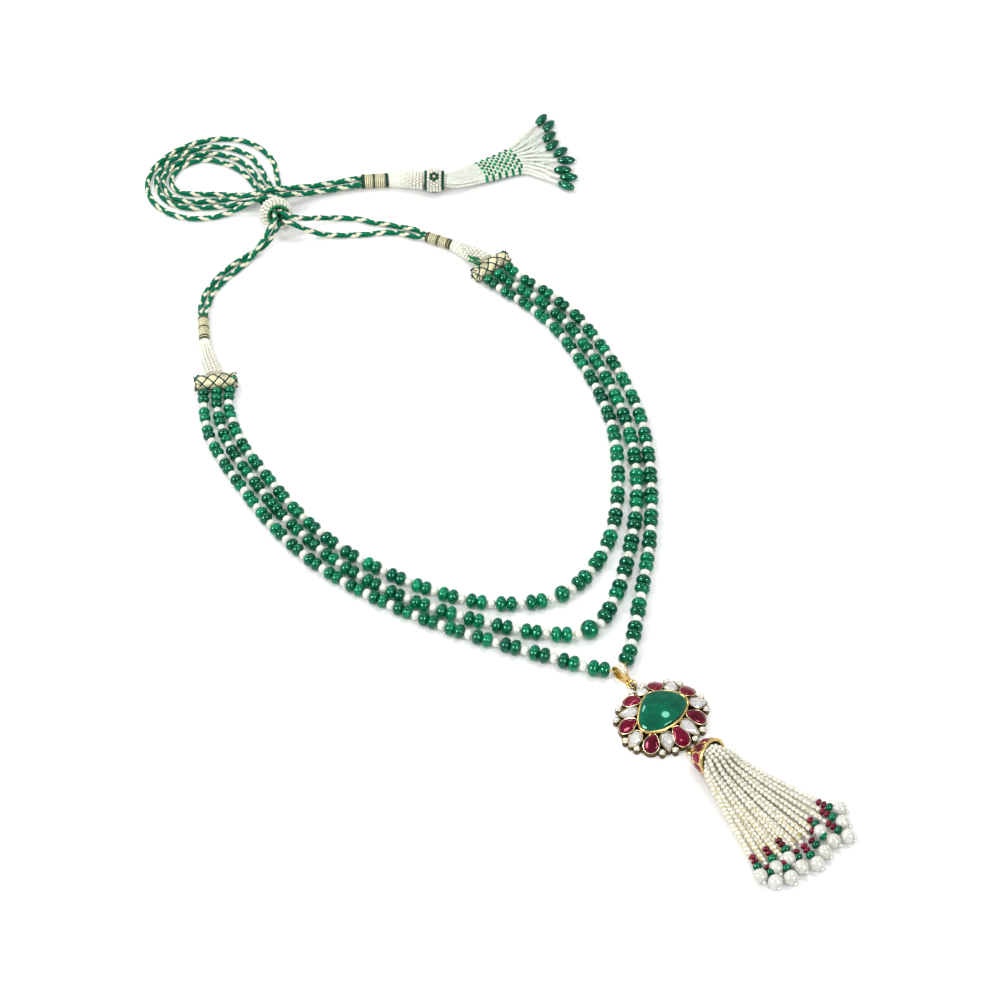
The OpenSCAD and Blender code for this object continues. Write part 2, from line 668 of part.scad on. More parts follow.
module pendant_setting() {
    plate = [for (i = [0:55]) let (a = 360 * i / 56)
        ellipse_reach(rim_half_width - 0.3, rim_half_height - 0.3, a) * [cos(a), sin(a)]];
    color("goldenrod")
        in_pendant() {
            difference() {
                union() {
                    linear_extrude(plate_thickness)
                        polygon(plate);
                    stone_outline(bezel_wall, bezel_height);
                    for (k = [0:petal_count - 1])
                        petal_block(k, collet_wall, 0, 0);
                    for (p = rim_places)
                        translate(p)
                            cylinder(d = rim_stone_d + 2 * rim_cup_wall, h = rim_cup_height);
                }
                translate([0, 0, stone_seat])
                    stone_outline(fit_gap, bezel_height);
                for (k = [0:petal_count - 1])
                    translate([0, 0, petal_seat])
                        petal_outline(k, fit_gap / 2, petal_high + 1);
                for (p = rim_places)
                    translate([p.x, p.y, stone_seat])
                        cylinder(d = rim_stone_d + fit_gap, h = rim_cup_height);
            }
            pendant_loop(top_loop_y);
            pendant_loop(bottom_loop_y);
        }
}

module centre_stone() {
    dome_r = 20;
    color("darkgreen")
        in_pendant()
            intersection() {
                translate([0, 0, stone_seat])
                    stone_outline(0, stone_height);
                translate([0, 0, stone_height - dome_r])
                    sphere(r = dome_r, $fn = 96);
            }
}

// A petal stone stands a little above its collet
module petal(k) {
    color(is_diamond(k) ? "gainsboro" : "crimson")
        in_pendant()
            petal_block(k, 0, petal_seat, petal_raise);
}

module rim_stones() {
    color("white")
        in_pendant()
            for (p = rim_places)
                translate([p.x, p.y, stone_seat])
                    cylinder(d = rim_stone_d, h = rim_stone_height - stone_seat);
}

// Bail and jump ring

bail_hole_r = 1.9;
bail_wall = 0.7;
bail_width = 3.2;
bail_tip_width = 0.9;
bail_middle = [0, -53.7, 2.6];
bail_turn = 7;
// From the middle of the thread hole to the middle of the eye, level and down
bail_reach = 3.9;
bail_fall = 1;
eye_hole_r = 0.75;
eye_r = 1.25;
eye_middle = bail_middle + bail_reach * heading_vector(bail_turn - 90) - [0, 0, bail_fall];
bail_limit = 10;
ring_wire = 0.7;

module bail() {
    half = bail_width / 2;
    half_tip = bail_tip_width / 2;
    back = bail_hole_r + bail_wall + 1;
    tip = -bail_reach - eye_r - 0.1;
    // Outline round the thread hole and the eye
    profile = round_pair(bail_hole_r + bail_wall, norm([bail_reach, bail_fall]), eye_r);
    plan = [[-half, back], [-half, 0], [-half_tip, -bail_reach], [-half_tip, tip], [half_tip, tip],
        [half_tip, -bail_reach], [half, 0], [half, back]];
    color("goldenrod")
        translate(bail_middle)
            rotate([0, 0, bail_turn])
                difference() {
                    intersection() {
                        rotate([atan2(bail_fall, bail_reach), 0, 0])
                            rotate([90, 0, -90])
                                linear_extrude(bail_width, center = true)
                                    polygon(profile);
                        translate([0, 0, -bail_limit / 2])
                            linear_extrude(bail_limit)
                                polygon(plan);
                    }
                    rod([-bail_width, 0, 0], [bail_width, 0, 0], 2 * bail_hole_r);
                    translate([0, -bail_reach, -bail_fall])
                        rod([-bail_width, 0, 0], [bail_width, 0, 0], 2 * eye_hole_r);
                }
}

// Ring whose wire passes just inside the two points
module ring_between(from, to) {
    way = to - from;
    translate((from + to) / 2)
        rotate([0, -asin(way.z / norm(way)), atan2(way.y, way.x)])
            wire_ring(norm(way) / 2 - 0.05, ring_wire);
}

module jump_ring() {
    color("gold")
        ring_between(eye_middle, pendant_point(top_loop_y));
}

// Link, cap and tassel

cap_middle = [5.7, -99.3, 6.25];
cap_heading = -66;
cap_rise = 25;
cap_along = [cos(cap_rise) * cos(cap_heading), cos(cap_rise) * sin(cap_heading), sin(cap_rise)];
cap_loop_from_rim = cap_depth + 0.9;
cap_rim = 0.2;
cap_rim_length = 0.5;
// Half outline of the cap's inside or outside, from its mouth to its back
function cap_curve(margin) = [for (i = [0:10])
    [i == 10 ? 0 : (cap_r - margin) * cos(9 * i), -(cap_depth - margin) * sin(9 * i)]];

// Drawn with the cap's mouth toward plus X
module in_cap() {
    translate(cap_middle)
        rotate([0, -cap_rise, cap_heading])
            children();
}

module tassel_cap() {
    color("crimson")
        in_cap() {
            rotate([0, 90, 0])
                rotate_extrude()
                    polygon(concat(
                        [[cap_r + cap_rim, 0], [cap_r + cap_rim, -cap_rim_length]],
                        [for (i = [1:10]) cap_curve(0)[i]],
                        [for (i = [10:-1:0]) cap_curve(cap_wall)[i]]
                    ));
            translate([-cap_loop_from_rim, 0, 0])
                rotate([90, 0, 0])
                    wire_ring(loop_r, loop_wire);
        }
}

module link_ring() {
    color("gold")
        ring_between(pendant_point(bottom_loop_y), cap_middle - cap_loop_from_rim * cap_along);
}

tassel_heading = -78.5;
tassel_half_angle = 18.3;
tassel_back = 14.5;
tassel_origin = [2.4, -84.8, 0];
// Sections of the tassel: distance from the cap's mouth, z, height
tassel_rows = [[4, 6, 8], [8, 4.3, 6.8], [18, 2.9, 4.8], [30, 2.2, 3.6], [38.8, 1.8, 2.8]];
tassel_end = tassel_rows[len(tassel_rows) - 1];
// Large pearls: x, y and heading from the tassel's origin at which the pearl's string leaves
pearl_rows = [[30.8, -133.8, -61.6], [28.6, -138.6, -64.4], [27.2, -143.8, -67.4], [20.6, -138, -71.1],
    [22.3, -143, -77.4], [17.6, -145, -76.2], [13.2, -147.4, -80], [8.4, -146, -81.5], [6.6, -141.4, -85.2],
    [1.4, -142.2, -91], [3.4, -147.6, -87.7], [-1.6, -146.4, -94], [-4.4, -142.2, -95.4]];
// The strings run low, under the pearls that they pass, and reach their own pearl from below
string_rise = 40;

module tassel_strings() {
    plug_back = cap_middle - 2.4 * cap_along;
    color("ivory") {
        skin(concat(
            [tube_ring(plug_back, cap_along, 4, oval_sides), tube_ring(cap_middle, cap_along, 4.7, oval_sides)],
            [for (row = tassel_rows)
                fan_ring(tassel_origin, [tassel_back + row[0], tassel_heading, tassel_half_angle, row[1], row[2]],
                    oval_sides)]
        ));
        for (row = pearl_rows) {
            from = tassel_origin + (tassel_back + tassel_end[0] - 1.5) * heading_vector(row[2])
                + [0, 0, tassel_end[1] - 0.5];
            pearl = [row[0], row[1], tassel_pearl_d / 2];
            level = unit([pearl.x - from.x, pearl.y - from.y, 0]);
            reach = tassel_pearl_d / 2 + clearance;
            rod(from, pearl - reach * (cos(string_rise) * level + [0, 0, sin(string_rise)]), string_d);
        }
    }
}

module tassel_pearls() {
    color("ivory")
        for (row = pearl_rows)
            translate([row[0], row[1], tassel_pearl_d / 2])
                sphere(d = tassel_pearl_d, $fn = 48);
}

// One line for each node

for (i = [0:2])
    for (side = [0:1])
        on_side(side) strand(i, side);
centre_bead(0, inner_centre_d, inner_centre_length);  // centre_bead_inner
centre_bead(1, middle_centre_d, middle_centre_length);  // centre_bead_middle
for (i = [0:1]) {
    color("khaki") on_side(i) bar(i);
    on_side(i) sleeve(i);
    on_side(i) wrap(i);
}
for (i = [0:3])
    cord(i);
slide_ball();
end_wrap();
end_sleeve();
end_barrel();
end_strings();
for (i = [1:drop_count])
    end_drop(i);
bail();
jump_ring();
pendant_setting();
centre_stone();
rim_stones();
for (i = [1:petal_count / 2]) {
    petal(2 * i - 1);
    petal(2 * i - 2);
}
link_ring();
tassel_cap();
tassel_strings();
tassel_pearls();
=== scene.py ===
"""Looks of a layered bead necklace, built round its fixed frame.

Lengths in this file are in millimetres until a mesh is made. A piece that replaces a solid of the frame follows the
same measured points as that solid."""

import math

import bpy
import numpy as np
from bpy.props import FloatProperty, FloatVectorProperty, IntProperty, PointerProperty
from mathutils import Matrix


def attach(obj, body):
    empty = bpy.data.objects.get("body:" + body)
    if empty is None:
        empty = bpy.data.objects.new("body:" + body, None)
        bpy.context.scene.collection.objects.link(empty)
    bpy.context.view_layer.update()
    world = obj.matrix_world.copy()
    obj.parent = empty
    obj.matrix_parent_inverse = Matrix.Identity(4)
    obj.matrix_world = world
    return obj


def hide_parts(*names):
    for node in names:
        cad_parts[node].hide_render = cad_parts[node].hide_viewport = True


bl_info = {
    "name": "Layered necklace looks",
    "version": (1, 0, 0),
    "blender": (4, 5, 0),
    "location": "View3D > Sidebar > Necklace",
    "description": "Builds the beads, cords, stones and tassels of a layered necklace round its fixed frame",
    "category": "Add Mesh",
}

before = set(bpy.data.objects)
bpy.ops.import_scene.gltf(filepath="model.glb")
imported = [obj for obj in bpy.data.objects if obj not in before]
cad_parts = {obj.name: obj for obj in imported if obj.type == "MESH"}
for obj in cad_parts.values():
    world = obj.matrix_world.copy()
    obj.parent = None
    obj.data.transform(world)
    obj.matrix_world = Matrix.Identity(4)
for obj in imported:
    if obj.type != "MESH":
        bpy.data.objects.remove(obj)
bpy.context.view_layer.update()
MM = 0.001
SEED = 7
# Height in metres that no point of a piece lies below, a hair above the floor
LOWEST = 0.00001


def colour(name, text, value):
    """A colour setting with its name, description and default."""
    return FloatVectorProperty(name=name, description=text, subtype="COLOR", size=3, min=0, max=1, default=value)


def measure(name, text, value, least, most):
    """A length setting in metres, given here in millimetres."""
    return FloatProperty(name=name, description=text, default=value * MM, min=least * MM, max=most * MM,
                         precision=5, unit="LENGTH")


class StageSettings(bpy.types.PropertyGroup):
    """Camera, floor and light."""

    elevation: FloatProperty(name="Camera elevation", description="Angle of the camera above the floor",
                             default=math.radians(51), min=0, max=math.pi / 2, unit="ROTATION")
    distance: FloatProperty(name="Camera distance", description="Distance from the camera to the point it looks at",
                            default=1.3333, min=0.5, max=5, unit="LENGTH")
    lens: FloatProperty(name="Lens", description="Focal length of the camera in millimetres", default=144, min=20,
                        max=400)
    sky: FloatProperty(name="Sky strength", description="Strength of the even white light from all round",
                       default=0.66, min=0, max=5)
    floor: colour("Floor", "Colour of the plain pale floor", (0.95, 0.95, 0.95))


class BeadSettings(bpy.types.PropertyGroup):
    """Sizes and colours of the three strands and their bars."""

    emerald_dark: colour("Emerald, dark", "Darkest green in an emerald bead", (0.0, 0.07, 0.036))
    emerald_mid: colour("Emerald, middle", "Usual green of an emerald bead", (0.0, 0.14, 0.068))
    emerald_light: colour("Emerald, light", "Lightest green in an emerald bead", (0.002, 0.36, 0.17))
    pearl: colour("Pearl", "Colour of the small pearls", (0.83, 0.86, 0.78))
    thread: colour("Gold thread", "Colour of the thread that the beads are strung on", (0.62, 0.5, 0.16))
    wound: colour("Wound thread", "Colour of the metallic thread on bars and wraps", (0.64, 0.6, 0.39))
    line: colour("Dark green thread", "Colour of the outlines and bands on bars and wraps", (0.004, 0.05, 0.03))
    small_emerald: measure("Small emerald", "Diameter of a rondelle at the bars", 3.9, 3.5, 4.2)
    large_emerald: measure("Large emerald", "Diameter of a rondelle at the front", 5.4, 5, 5.6)
    small_pearl: measure("Small pearl", "Diameter of a pearl at the bars", 2.5, 2.2, 2.8)
    large_pearl: measure("Large pearl", "Diameter of a pearl at the front", 3, 2.6, 3.3)


class CordSettings(bpy.types.PropertyGroup):
    """Sizes and colours of the cords, the ball and the cord end."""

    silk: colour("Silk", "Colour of the cords' main strands", (0.0, 0.15, 0.072))
    fleck: colour("Fleck", "Colour of the pale strands in the cords", (0.8, 0.77, 0.6))
    seed: colour("Seed beads", "Colour of the white seed beads", (0.77, 0.77, 0.67))
    green_seed: colour("Green seed beads", "Colour of the bright green seed beads", (0.0, 0.165, 0.05))
    glass: colour("String glass", "Colour of the strings of clear white beads", (0.86, 0.9, 0.8))
    thickness: measure("Cord thickness", "Diameter of a cord", 2, 1.6, 2.2)
    pitch: measure("Braid pitch", "Length of cord in which a strand goes once round", 8.6, 8, 20)


class PendantSettings(bpy.types.PropertyGroup):
    """Sizes and colours of the pendant, its tassel and its rings."""

    gold: colour("Gold", "Colour of the settings", (0.72, 0.52, 0.2))
    pale_gold: colour("Pale gold", "Colour of the thin rims", (0.87, 0.74, 0.47))
    dark_metal: colour("Dark metal", "Dark colour of the setting, seen between the petals", (0.12, 0.085, 0.036))
    grey_gold: colour("Grey gold", "Colour of the rims round the uncut diamonds", (0.42, 0.34, 0.19))
    ruby_dark: colour("Ruby, dark", "Darkest red in a ruby", (0.055, 0.001, 0.008))
    ruby_light: colour("Ruby, light", "Lightest red in a ruby", (0.17, 0.003, 0.024))
    diamond: colour("Uncut diamond", "Colour of the uncut diamonds", (0.75, 0.745, 0.71))
    seed_pearl: measure("Seed pearl", "Diameter of a seed pearl in the tassel", 1.6, 1.4, 2)
    large_pearl: measure("Tassel pearl", "Diameter of a large pearl of the tassel", 4.8, 4.4, 4.9)
    string_count: IntProperty(name="Strings", description="Pearl strings in the tassel", default=27, min=13, max=40)


# Directions and routes


def unit(v):
    """Each vector divided by its own length."""
    v = np.asarray(v, float)
    return v / np.maximum(np.linalg.norm(v, axis=-1, keepdims=True), 1e-12)


def toward(degrees, rise=0.0):
    """Unit vector at a compass angle from X, raised by another angle."""
    a, b = np.radians(degrees), np.radians(rise)
    return np.stack(np.broadcast_arrays(np.cos(b) * np.cos(a), np.cos(b) * np.sin(a), np.sin(b)), -1)


def axes(along):
    """Each direction with a level side and an upward vector square to it; for an upright direction the side is
    square to X."""
    along = unit(along)
    upright = np.abs(along[..., 2:3]) > 0.98
    side = unit(np.where(upright, np.cross(along, [1.0, 0, 0]), np.cross([0, 0, 1.0], along)))
    return along, side, np.cross(along, side)


def turns(count):
    """Angles spaced evenly once round."""
    return np.arange(count) * 2 * np.pi / count


def spokes(angles, side, up):
    """Directions at angles round an axis: cos a side + sin a up."""
    return np.cos(angles)[..., None] * side + np.sin(angles)[..., None] * up


def smooth(points, samples=10):
    """Curve through all points but the first and last: each span is the cubic that leaves and meets its two points
    parallel to the line between their neighbours."""
    p = np.asarray(points, float)
    a, b, c, d = (p[i:len(p) - 3 + i, None] for i in range(4))
    t = (np.arange(samples) / samples)[None, :, None]
    curve = 0.5 * (2 * b + (c - a) * t + (2 * a - 5 * b + 4 * c - d) * t**2 + (3 * b - a - 3 * c + d) * t**3)
    return np.concatenate([curve.reshape(-1, p.shape[1]), p[-2:-1]])


def with_ends(points):
    """The points with one more before and after, each a mirror image of its neighbour, to steer a smooth curve."""
    p = np.asarray(points, float)
    return np.concatenate([2 * p[:1] - p[1:2], p, 2 * p[-1:] - p[-2:-1]])


def running(route):
    """Distance along a route at each of its points."""
    return np.concatenate([[0], np.cumsum(np.linalg.norm(np.diff(route, axis=0), axis=1))])


def at_length(route, lengths):
    """Points of a route at the given distances along it."""
    run = running(route)
    return np.stack([np.interp(lengths, run, route[:, k]) for k in range(route.shape[1])], -1)


def on_route(route, lengths, reach=0.3):
    """Points of a route at the given distances along it, and its directions there."""
    return at_length(route, lengths), at_length(route, lengths + reach) - at_length(route, lengths - reach)


def direction(route):
    """Direction of a route at each of its points, from the point before to the point after."""
    return unit(np.gradient(np.asarray(route, float), axis=0))


# Surfaces: each is (points, list of face arrays, tone of each point, finish number)


def surface(points, faces, tone, finish):
    """One surface of a piece; tone is a number from 0 to 1 that the finishes read."""
    points = np.asarray(points, float).reshape(-1, 3)
    return points, faces, np.broadcast_to(np.asarray(tone, float), len(points)), finish


def ring_faces(rings, sides):
    """Four-sided faces between closed rings that follow each other."""
    k, i = np.meshgrid(np.arange(rings - 1), np.arange(sides), indexing="ij")
    j = (i + 1) % sides
    return np.stack([k * sides + i, k * sides + j, (k + 1) * sides + j, (k + 1) * sides + i], -1).reshape(-1, 4)


def loop_faces(rings, sides):
    """Four-sided faces between closed rings of which the last is followed by the first."""
    return ring_faces(rings + 1, sides) % (rings * sides)


def end_faces(rings, sides, first, last):
    """Three-sided faces from the first and last ring to a point in the middle of each."""
    i = np.arange(sides)
    j = (i + 1) % sides
    top = (rings - 1) * sides
    return np.concatenate([np.stack([j, i, np.full(sides, first)], -1),
                           np.stack([top + i, top + j, np.full(sides, last)], -1)])


def closed_rings(grid, tone, finish, first=None, last=None):
    """Closed surface over rings of points, in order; its ends run to the middle of the first and last ring."""
    grid = np.asarray(grid, float)
    rings, sides = grid.shape[:2]
    first = grid[0].mean(0) if first is None else first
    last = grid[-1].mean(0) if last is None else last
    points = np.concatenate([grid.reshape(-1, 3), [first, last]])
    count = rings * sides
    if np.ndim(tone) == 1:
        tone = np.concatenate([np.repeat(tone, sides), [tone[0], tone[-1]]])
    return surface(points, [ring_faces(rings, sides), end_faces(rings, sides, count, count + 1)], tone, finish)


def tube(path, radius, sides, tone, finish):
    """Tube round a path: centre + radius (cos t side + sin t up), with a radius for each point or one for all."""
    path = np.asarray(path, float)
    _, side, up = axes(direction(path))
    r = np.broadcast_to(np.asarray(radius, float), len(path))[:, None, None]
    grid = path[:, None] + r * spokes(turns(sides), side[:, None], up[:, None])
    return closed_rings(grid, tone, finish, path[0], path[-1])


def hoop(path, radius, tone, finish):
    """Six-sided tube round a closed loop, whose last point joins its first."""
    path = np.asarray(path, float)
    _, side, up = axes(np.roll(path, -1, 0) - np.roll(path, 1, 0))
    grid = path[:, None] + radius * spokes(turns(6), side[:, None], up[:, None])
    return surface(grid, [loop_faces(len(path), 6)], tone, finish)


def turned(profile, start, along, sides=24, tone=0.5, finish=0):
    """Shape turned about an axis: the profile gives distance along it and radius; its ends run to the axis."""
    profile = np.asarray(profile, float)
    along, side, up = axes(np.asarray(along, float))
    middle = np.asarray(start, float) + profile[:, :1] * along
    grid = middle[:, None] + profile[:, 1, None, None] * spokes(turns(sides), side, up)
    return closed_rings(grid, tone, finish, middle[0], middle[-1])


def turned_ring(profile, start, along, sides, tone, finish):
    """Ring turned about an axis: as in turned, but the profile's last point joins its first, round the ring's wall."""
    profile = np.asarray(profile, float)
    along, side, up = axes(along)
    grid = start + profile[:, :1, None] * along + profile[:, 1:, None] * spokes(turns(sides), side, up)
    return surface(grid, [loop_faces(len(profile), sides)[:, ::-1]], tone, finish)


def bead_shape(bands, sides, flat_end, round_rim):
    """Bead one long and one wide on the X axis: x = sin t to the power flat_end, radius = cos t to round_rim."""
    t = np.linspace(-1.32, 1.32, bands)
    x = 0.5 * np.sign(np.sin(t)) * np.abs(np.sin(t))**flat_end
    r = 0.5 * np.cos(t)**round_rim
    points, faces, _, _ = turned(np.stack([x, r], 1), (0, 0, 0), (1.0, 0, 0), sides)
    return points, faces


RONDELLE = bead_shape(7, 16, 0.92, 0.78)
PEARL = bead_shape(6, 12, 0.95, 0.95)
SEED_PEARL = bead_shape(5, 8, 0.95, 0.9)
TINY_BEAD = bead_shape(3, 7, 0.9, 0.55)


def beads(shape, centres, along, lengths, widths, rng, finish=0, uneven=0.03, tone=None):
    """Copies of a bead at many places: place = centre + length x along + width (y side + z up), each turned about its
    own axis by a random angle and a little uneven across it."""
    points, faces = shape
    centres = np.asarray(centres, float).reshape(-1, 3)
    n = len(centres)
    along, side, up = axes(np.broadcast_to(np.asarray(along, float), (n, 3)))
    spin = rng.uniform(0, 2 * np.pi, (n, 1, 1))
    lengths = np.broadcast_to(np.asarray(lengths, float), n)[:, None, None]
    widths = np.broadcast_to(np.asarray(widths, float), n)[:, None, None]
    wide, deep = widths * rng.uniform(1 - uneven, 1 + uneven, (2, n, 1, 1))
    y, z = points[:, 1, None] * wide, points[:, 2, None] * deep
    y, z = np.cos(spin) * y - np.sin(spin) * z, np.sin(spin) * y + np.cos(spin) * z
    grid = centres[:, None] + lengths * points[:, 0, None] * along[:, None] + y * side[:, None] + z * up[:, None]
    base = (np.arange(n) * len(points))[:, None, None]
    shades = rng.uniform(0, 1, n) if tone is None else np.broadcast_to(np.asarray(tone, float), n)
    return surface(grid, [(base + f).reshape(-1, f.shape[1]) for f in faces], np.repeat(shades, len(points)), finish)


def make_piece(name, surfaces, finishes, nodes=(), flat_shaded=False):
    """Joins surfaces into one object on body root, in metres, with its tones in the attribute tone. What would go below
    the floor lies flat on it."""
    points = np.concatenate([s[0] for s in surfaces]) * MM
    points[:, 2] = np.maximum(points[:, 2], LOWEST)
    tones = np.concatenate([s[2] for s in surfaces])
    corners, sizes, numbers, base = [], [], [], 0
    for part, faces, _, finish in surfaces:
        for f in faces:
            corners.append((f + base).ravel())
            sizes.append(np.full(len(f), f.shape[1]))
            numbers.append(np.full(len(f), finish))
        base += len(part)
    corners, sizes, numbers = (np.concatenate(x).astype(np.int32) for x in (corners, sizes, numbers))
    mesh = bpy.data.meshes.new(name)
    mesh.vertices.add(len(points))
    mesh.vertices.foreach_set("co", points.astype(np.float32).ravel())
    mesh.loops.add(len(corners))
    mesh.loops.foreach_set("vertex_index", corners)
    mesh.polygons.add(len(sizes))
    mesh.polygons.foreach_set("loop_start", np.concatenate([[0], np.cumsum(sizes)[:-1]]).astype(np.int32))
    mesh.polygons.foreach_set("material_index", numbers)
    mesh.polygons.foreach_set("use_smooth", np.full(len(sizes), not flat_shaded))
    mesh.update(calc_edges=True)
    mesh.attributes.new("tone", "FLOAT", "POINT").data.foreach_set("value", tones.astype(np.float32))
    for finish in finishes:
        mesh.materials.append(finish)
    piece = bpy.data.objects.new(name, mesh)
    bpy.context.scene.collection.objects.link(piece)
    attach(piece, "root")
    if nodes:
        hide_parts(*nodes)
    return piece


# Finishes


def new_finish(name, roughness, metal=0.0, coat=0.0, through=0.0, ior=1.5, gloss=0.5, shine=(1, 1, 1)):
    """A material with its Principled shader, whose constant values are on the shader's own sockets; shine colours the
    reflections that come straight back."""
    made = bpy.data.materials.new(name)
    made.use_nodes = True
    shader = made.node_tree.nodes["Principled BSDF"]
    for socket, value in (("Roughness", roughness), ("Metallic", metal), ("Coat Weight", coat), ("IOR", ior),
                          ("Transmission Weight", through), ("Specular IOR Level", gloss)):
        shader.inputs[socket].default_value = value
    shader.inputs["Specular Tint"].default_value = (*shine, 1)
    return made, made.node_tree, shader


def grain(tree, size, detail=3.0, twist=0.0):
    """Noise in Object coordinates whose patches are about as large as the given millimetres."""
    place = tree.nodes.new("ShaderNodeTexCoord")
    noise = tree.nodes.new("ShaderNodeTexNoise")
    noise.inputs["Scale"].default_value = 1 / (size * MM)
    noise.inputs["Detail"].default_value = detail
    noise.inputs["Distortion"].default_value = twist
    tree.links.new(place.outputs["Object"], noise.inputs["Vector"])
    return noise.outputs["Fac"]


def shades(tree, value, stops):
    """Colours spread over a value: (place, colour) pairs."""
    ramp = tree.nodes.new("ShaderNodeValToRGB")
    row = ramp.color_ramp.elements
    while len(row) < len(stops):
        row.new(0.5)
    for element, (place, tint) in zip(row, stops):
        element.position = place
        element.color = (*tint, 1)
    tree.links.new(value, ramp.inputs["Fac"])
    return ramp.outputs["Color"]


def added(tree, a, b, share):
    """a + share (b - 0.5), both from 0 to 1."""
    scaled = tree.nodes.new("ShaderNodeMath")
    scaled.operation = "MULTIPLY_ADD"
    scaled.inputs[1].default_value = share
    scaled.inputs[2].default_value = -share / 2
    total = tree.nodes.new("ShaderNodeMath")
    total.operation = "ADD"
    total.use_clamp = True
    tree.links.new(b, scaled.inputs[0])
    tree.links.new(a, total.inputs[0])
    tree.links.new(scaled.outputs[0], total.inputs[1])
    return total.outputs[0]


def tone_of(tree):
    """The tone attribute of the piece."""
    reader = tree.nodes.new("ShaderNodeAttribute")
    reader.attribute_name = "tone"
    return reader.outputs["Fac"]


def dressed(made, tree, shader, value, stops, size, height, strength):
    """The material with its colours spread over a value, and a fine uneven surface from noise: the size and the height
    of its bumps in millimetres, and how strongly they show."""
    tree.links.new(shades(tree, value, stops), shader.inputs["Base Color"])
    bump = tree.nodes.new("ShaderNodeBump")
    bump.inputs["Strength"].default_value = strength
    bump.inputs["Distance"].default_value = height * MM
    tree.links.new(grain(tree, size), bump.inputs["Height"])
    tree.links.new(bump.outputs["Normal"], shader.inputs["Normal"])
    return made


def stone_finish(name, dark, mid, light, size, through, tone_share=0.5, roughness=0.09, spread=0.5, ior=1.5,
                 gloss=0.35, shine=(1, 1, 1)):
    """Polished stone whose colour clouds from dark through mid to light."""
    made, tree, shader = new_finish(name, roughness, through=through, ior=ior, gloss=gloss, shine=shine)
    value = added(tree, grain(tree, size, 3.0, 1.2), tone_of(tree), tone_share)
    stops = [(0.5 - spread / 2, dark), (0.5, mid), (0.5 + spread / 2, light)]
    return dressed(made, tree, shader, value, stops, 1.2, 0.03, 0.15)


def pearl_finish(name, tint, through=0.0, roughness=0.22, variety=0.35):
    """Pale lustrous surface that differs a little from bead to bead."""
    made, tree, shader = new_finish(name, roughness, coat=1.0, through=through)
    tint = np.array(tint)
    value = added(tree, grain(tree, 1.4, 2.0), tone_of(tree), variety)
    stops = [(0.2, tint * [0.8, 0.8, 0.72]), (0.55, tint), (0.9, np.minimum(1, tint * [1.1, 1.08, 1.14]))]
    return dressed(made, tree, shader, value, stops, 0.8, 0.02, 0.2)


def thread_finish(name, tint, metal=0.0, roughness=0.5, darker=0.7, tone_share=0.4, shine=(1, 1, 1)):
    """Thread: its colour varies in fine streaks and with the tone, over a fibrous surface."""
    made, tree, shader = new_finish(name, roughness, metal=metal, gloss=0.15, shine=shine)
    tint = np.array(tint)
    value = added(tree, grain(tree, 0.5, 4.0), tone_of(tree), tone_share)
    stops = [(0.25, tint * darker), (0.7, np.minimum(1, tint * 1.15))]
    return dressed(made, tree, shader, value, stops, 0.25, 0.06, 0.5)


def metal_finish(name, tint, roughness=0.2):
    """Polished metal, a little uneven and darker in places from wear."""
    made, tree, shader = new_finish(name, roughness, metal=1.0)
    stops = [(0.3, np.array(tint) * 0.72), (0.6, tint)]
    return dressed(made, tree, shader, grain(tree, 1.6, 4.0), stops, 0.9, 0.05, 0.3)


def shared_finish(name, maker, *values, **more):
    """The finish of that name, made the first time that it is asked for."""
    return bpy.data.materials.get(name) or maker(name, *values, **more)


def shaded(tint, *shares):
    """A colour made darker or lighter, once for each share."""
    return [np.array(tint) * share for share in shares]


# Colours of the reflections that come straight back from green and from red stones
GREEN_SHINE = (0.3, 1.0, 0.68)
RED_SHINE = (1.0, 0.25, 0.35)


def emerald_finish(context):
    """Finish of the emerald beads."""
    s = context.scene.necklace_beads
    return shared_finish("Emerald beads", stone_finish, s.emerald_dark, s.emerald_mid, s.emerald_light, 2.0, 0.5,
                         tone_share=0.3, roughness=0.06, spread=0.4, gloss=0.8, shine=GREEN_SHINE)


def ruby_finish(context):
    """Finish of the ruby petals and beads."""
    s = context.scene.necklace_pendant
    return shared_finish("Ruby", stone_finish, s.ruby_dark, *shaded(s.ruby_light, 0.6, 1), 2.2, 0.15, tone_share=0.8,
                         roughness=0.12, gloss=0.7, shine=RED_SHINE)


def gold_finish(context):
    """Finish of the gold settings and rings."""
    return shared_finish("Polished gold", metal_finish, context.scene.necklace_pendant.gold)


def pale_gold_finish(context):
    """Finish of the thin rims and grains."""
    return shared_finish("Pale gold", metal_finish, context.scene.necklace_pendant.pale_gold)


def wound_finishes(context):
    """Finishes of the pale metallic thread, the dark green thread and the olive thread."""
    s = context.scene.necklace_beads
    # Low tones on the wound threads, in the grooves between windings, are painted shade
    return [shared_finish("Wound gold thread", thread_finish, s.wound, metal=0.15, roughness=0.42, darker=0.22,
                          tone_share=0.9),
            shared_finish("Dark green thread", thread_finish, s.line),
            shared_finish("Olive thread", thread_finish, (0.1, 0.11, 0.055), darker=0.4, tone_share=0.9)]


# Numbers of the seed beads' finishes in a piece
WHITE, GREEN, DARK, CLOTH = range(4)


def seed_finishes(context):
    """Finishes of the white, green and dark green seed beads and of the cloth under them."""
    s = context.scene.necklace_cords
    green = np.array(s.green_seed)
    return [shared_finish("White seed beads", pearl_finish, s.seed),
            shared_finish("Green seed beads", stone_finish, *shaded(green, 0.5, 1, 1.8), 1.0, 0.1, shine=GREEN_SHINE),
            shared_finish("Dark seed beads", stone_finish, *shaded(green * 0.22, 0.5, 1, 2), 1.0, 0.0,
                          shine=GREEN_SHINE),
            shared_finish("Netting cloth", thread_finish, (0.68, 0.66, 0.52))]


# Measured places, the same as in the frame's solids. Headings are in degrees from X toward Y.

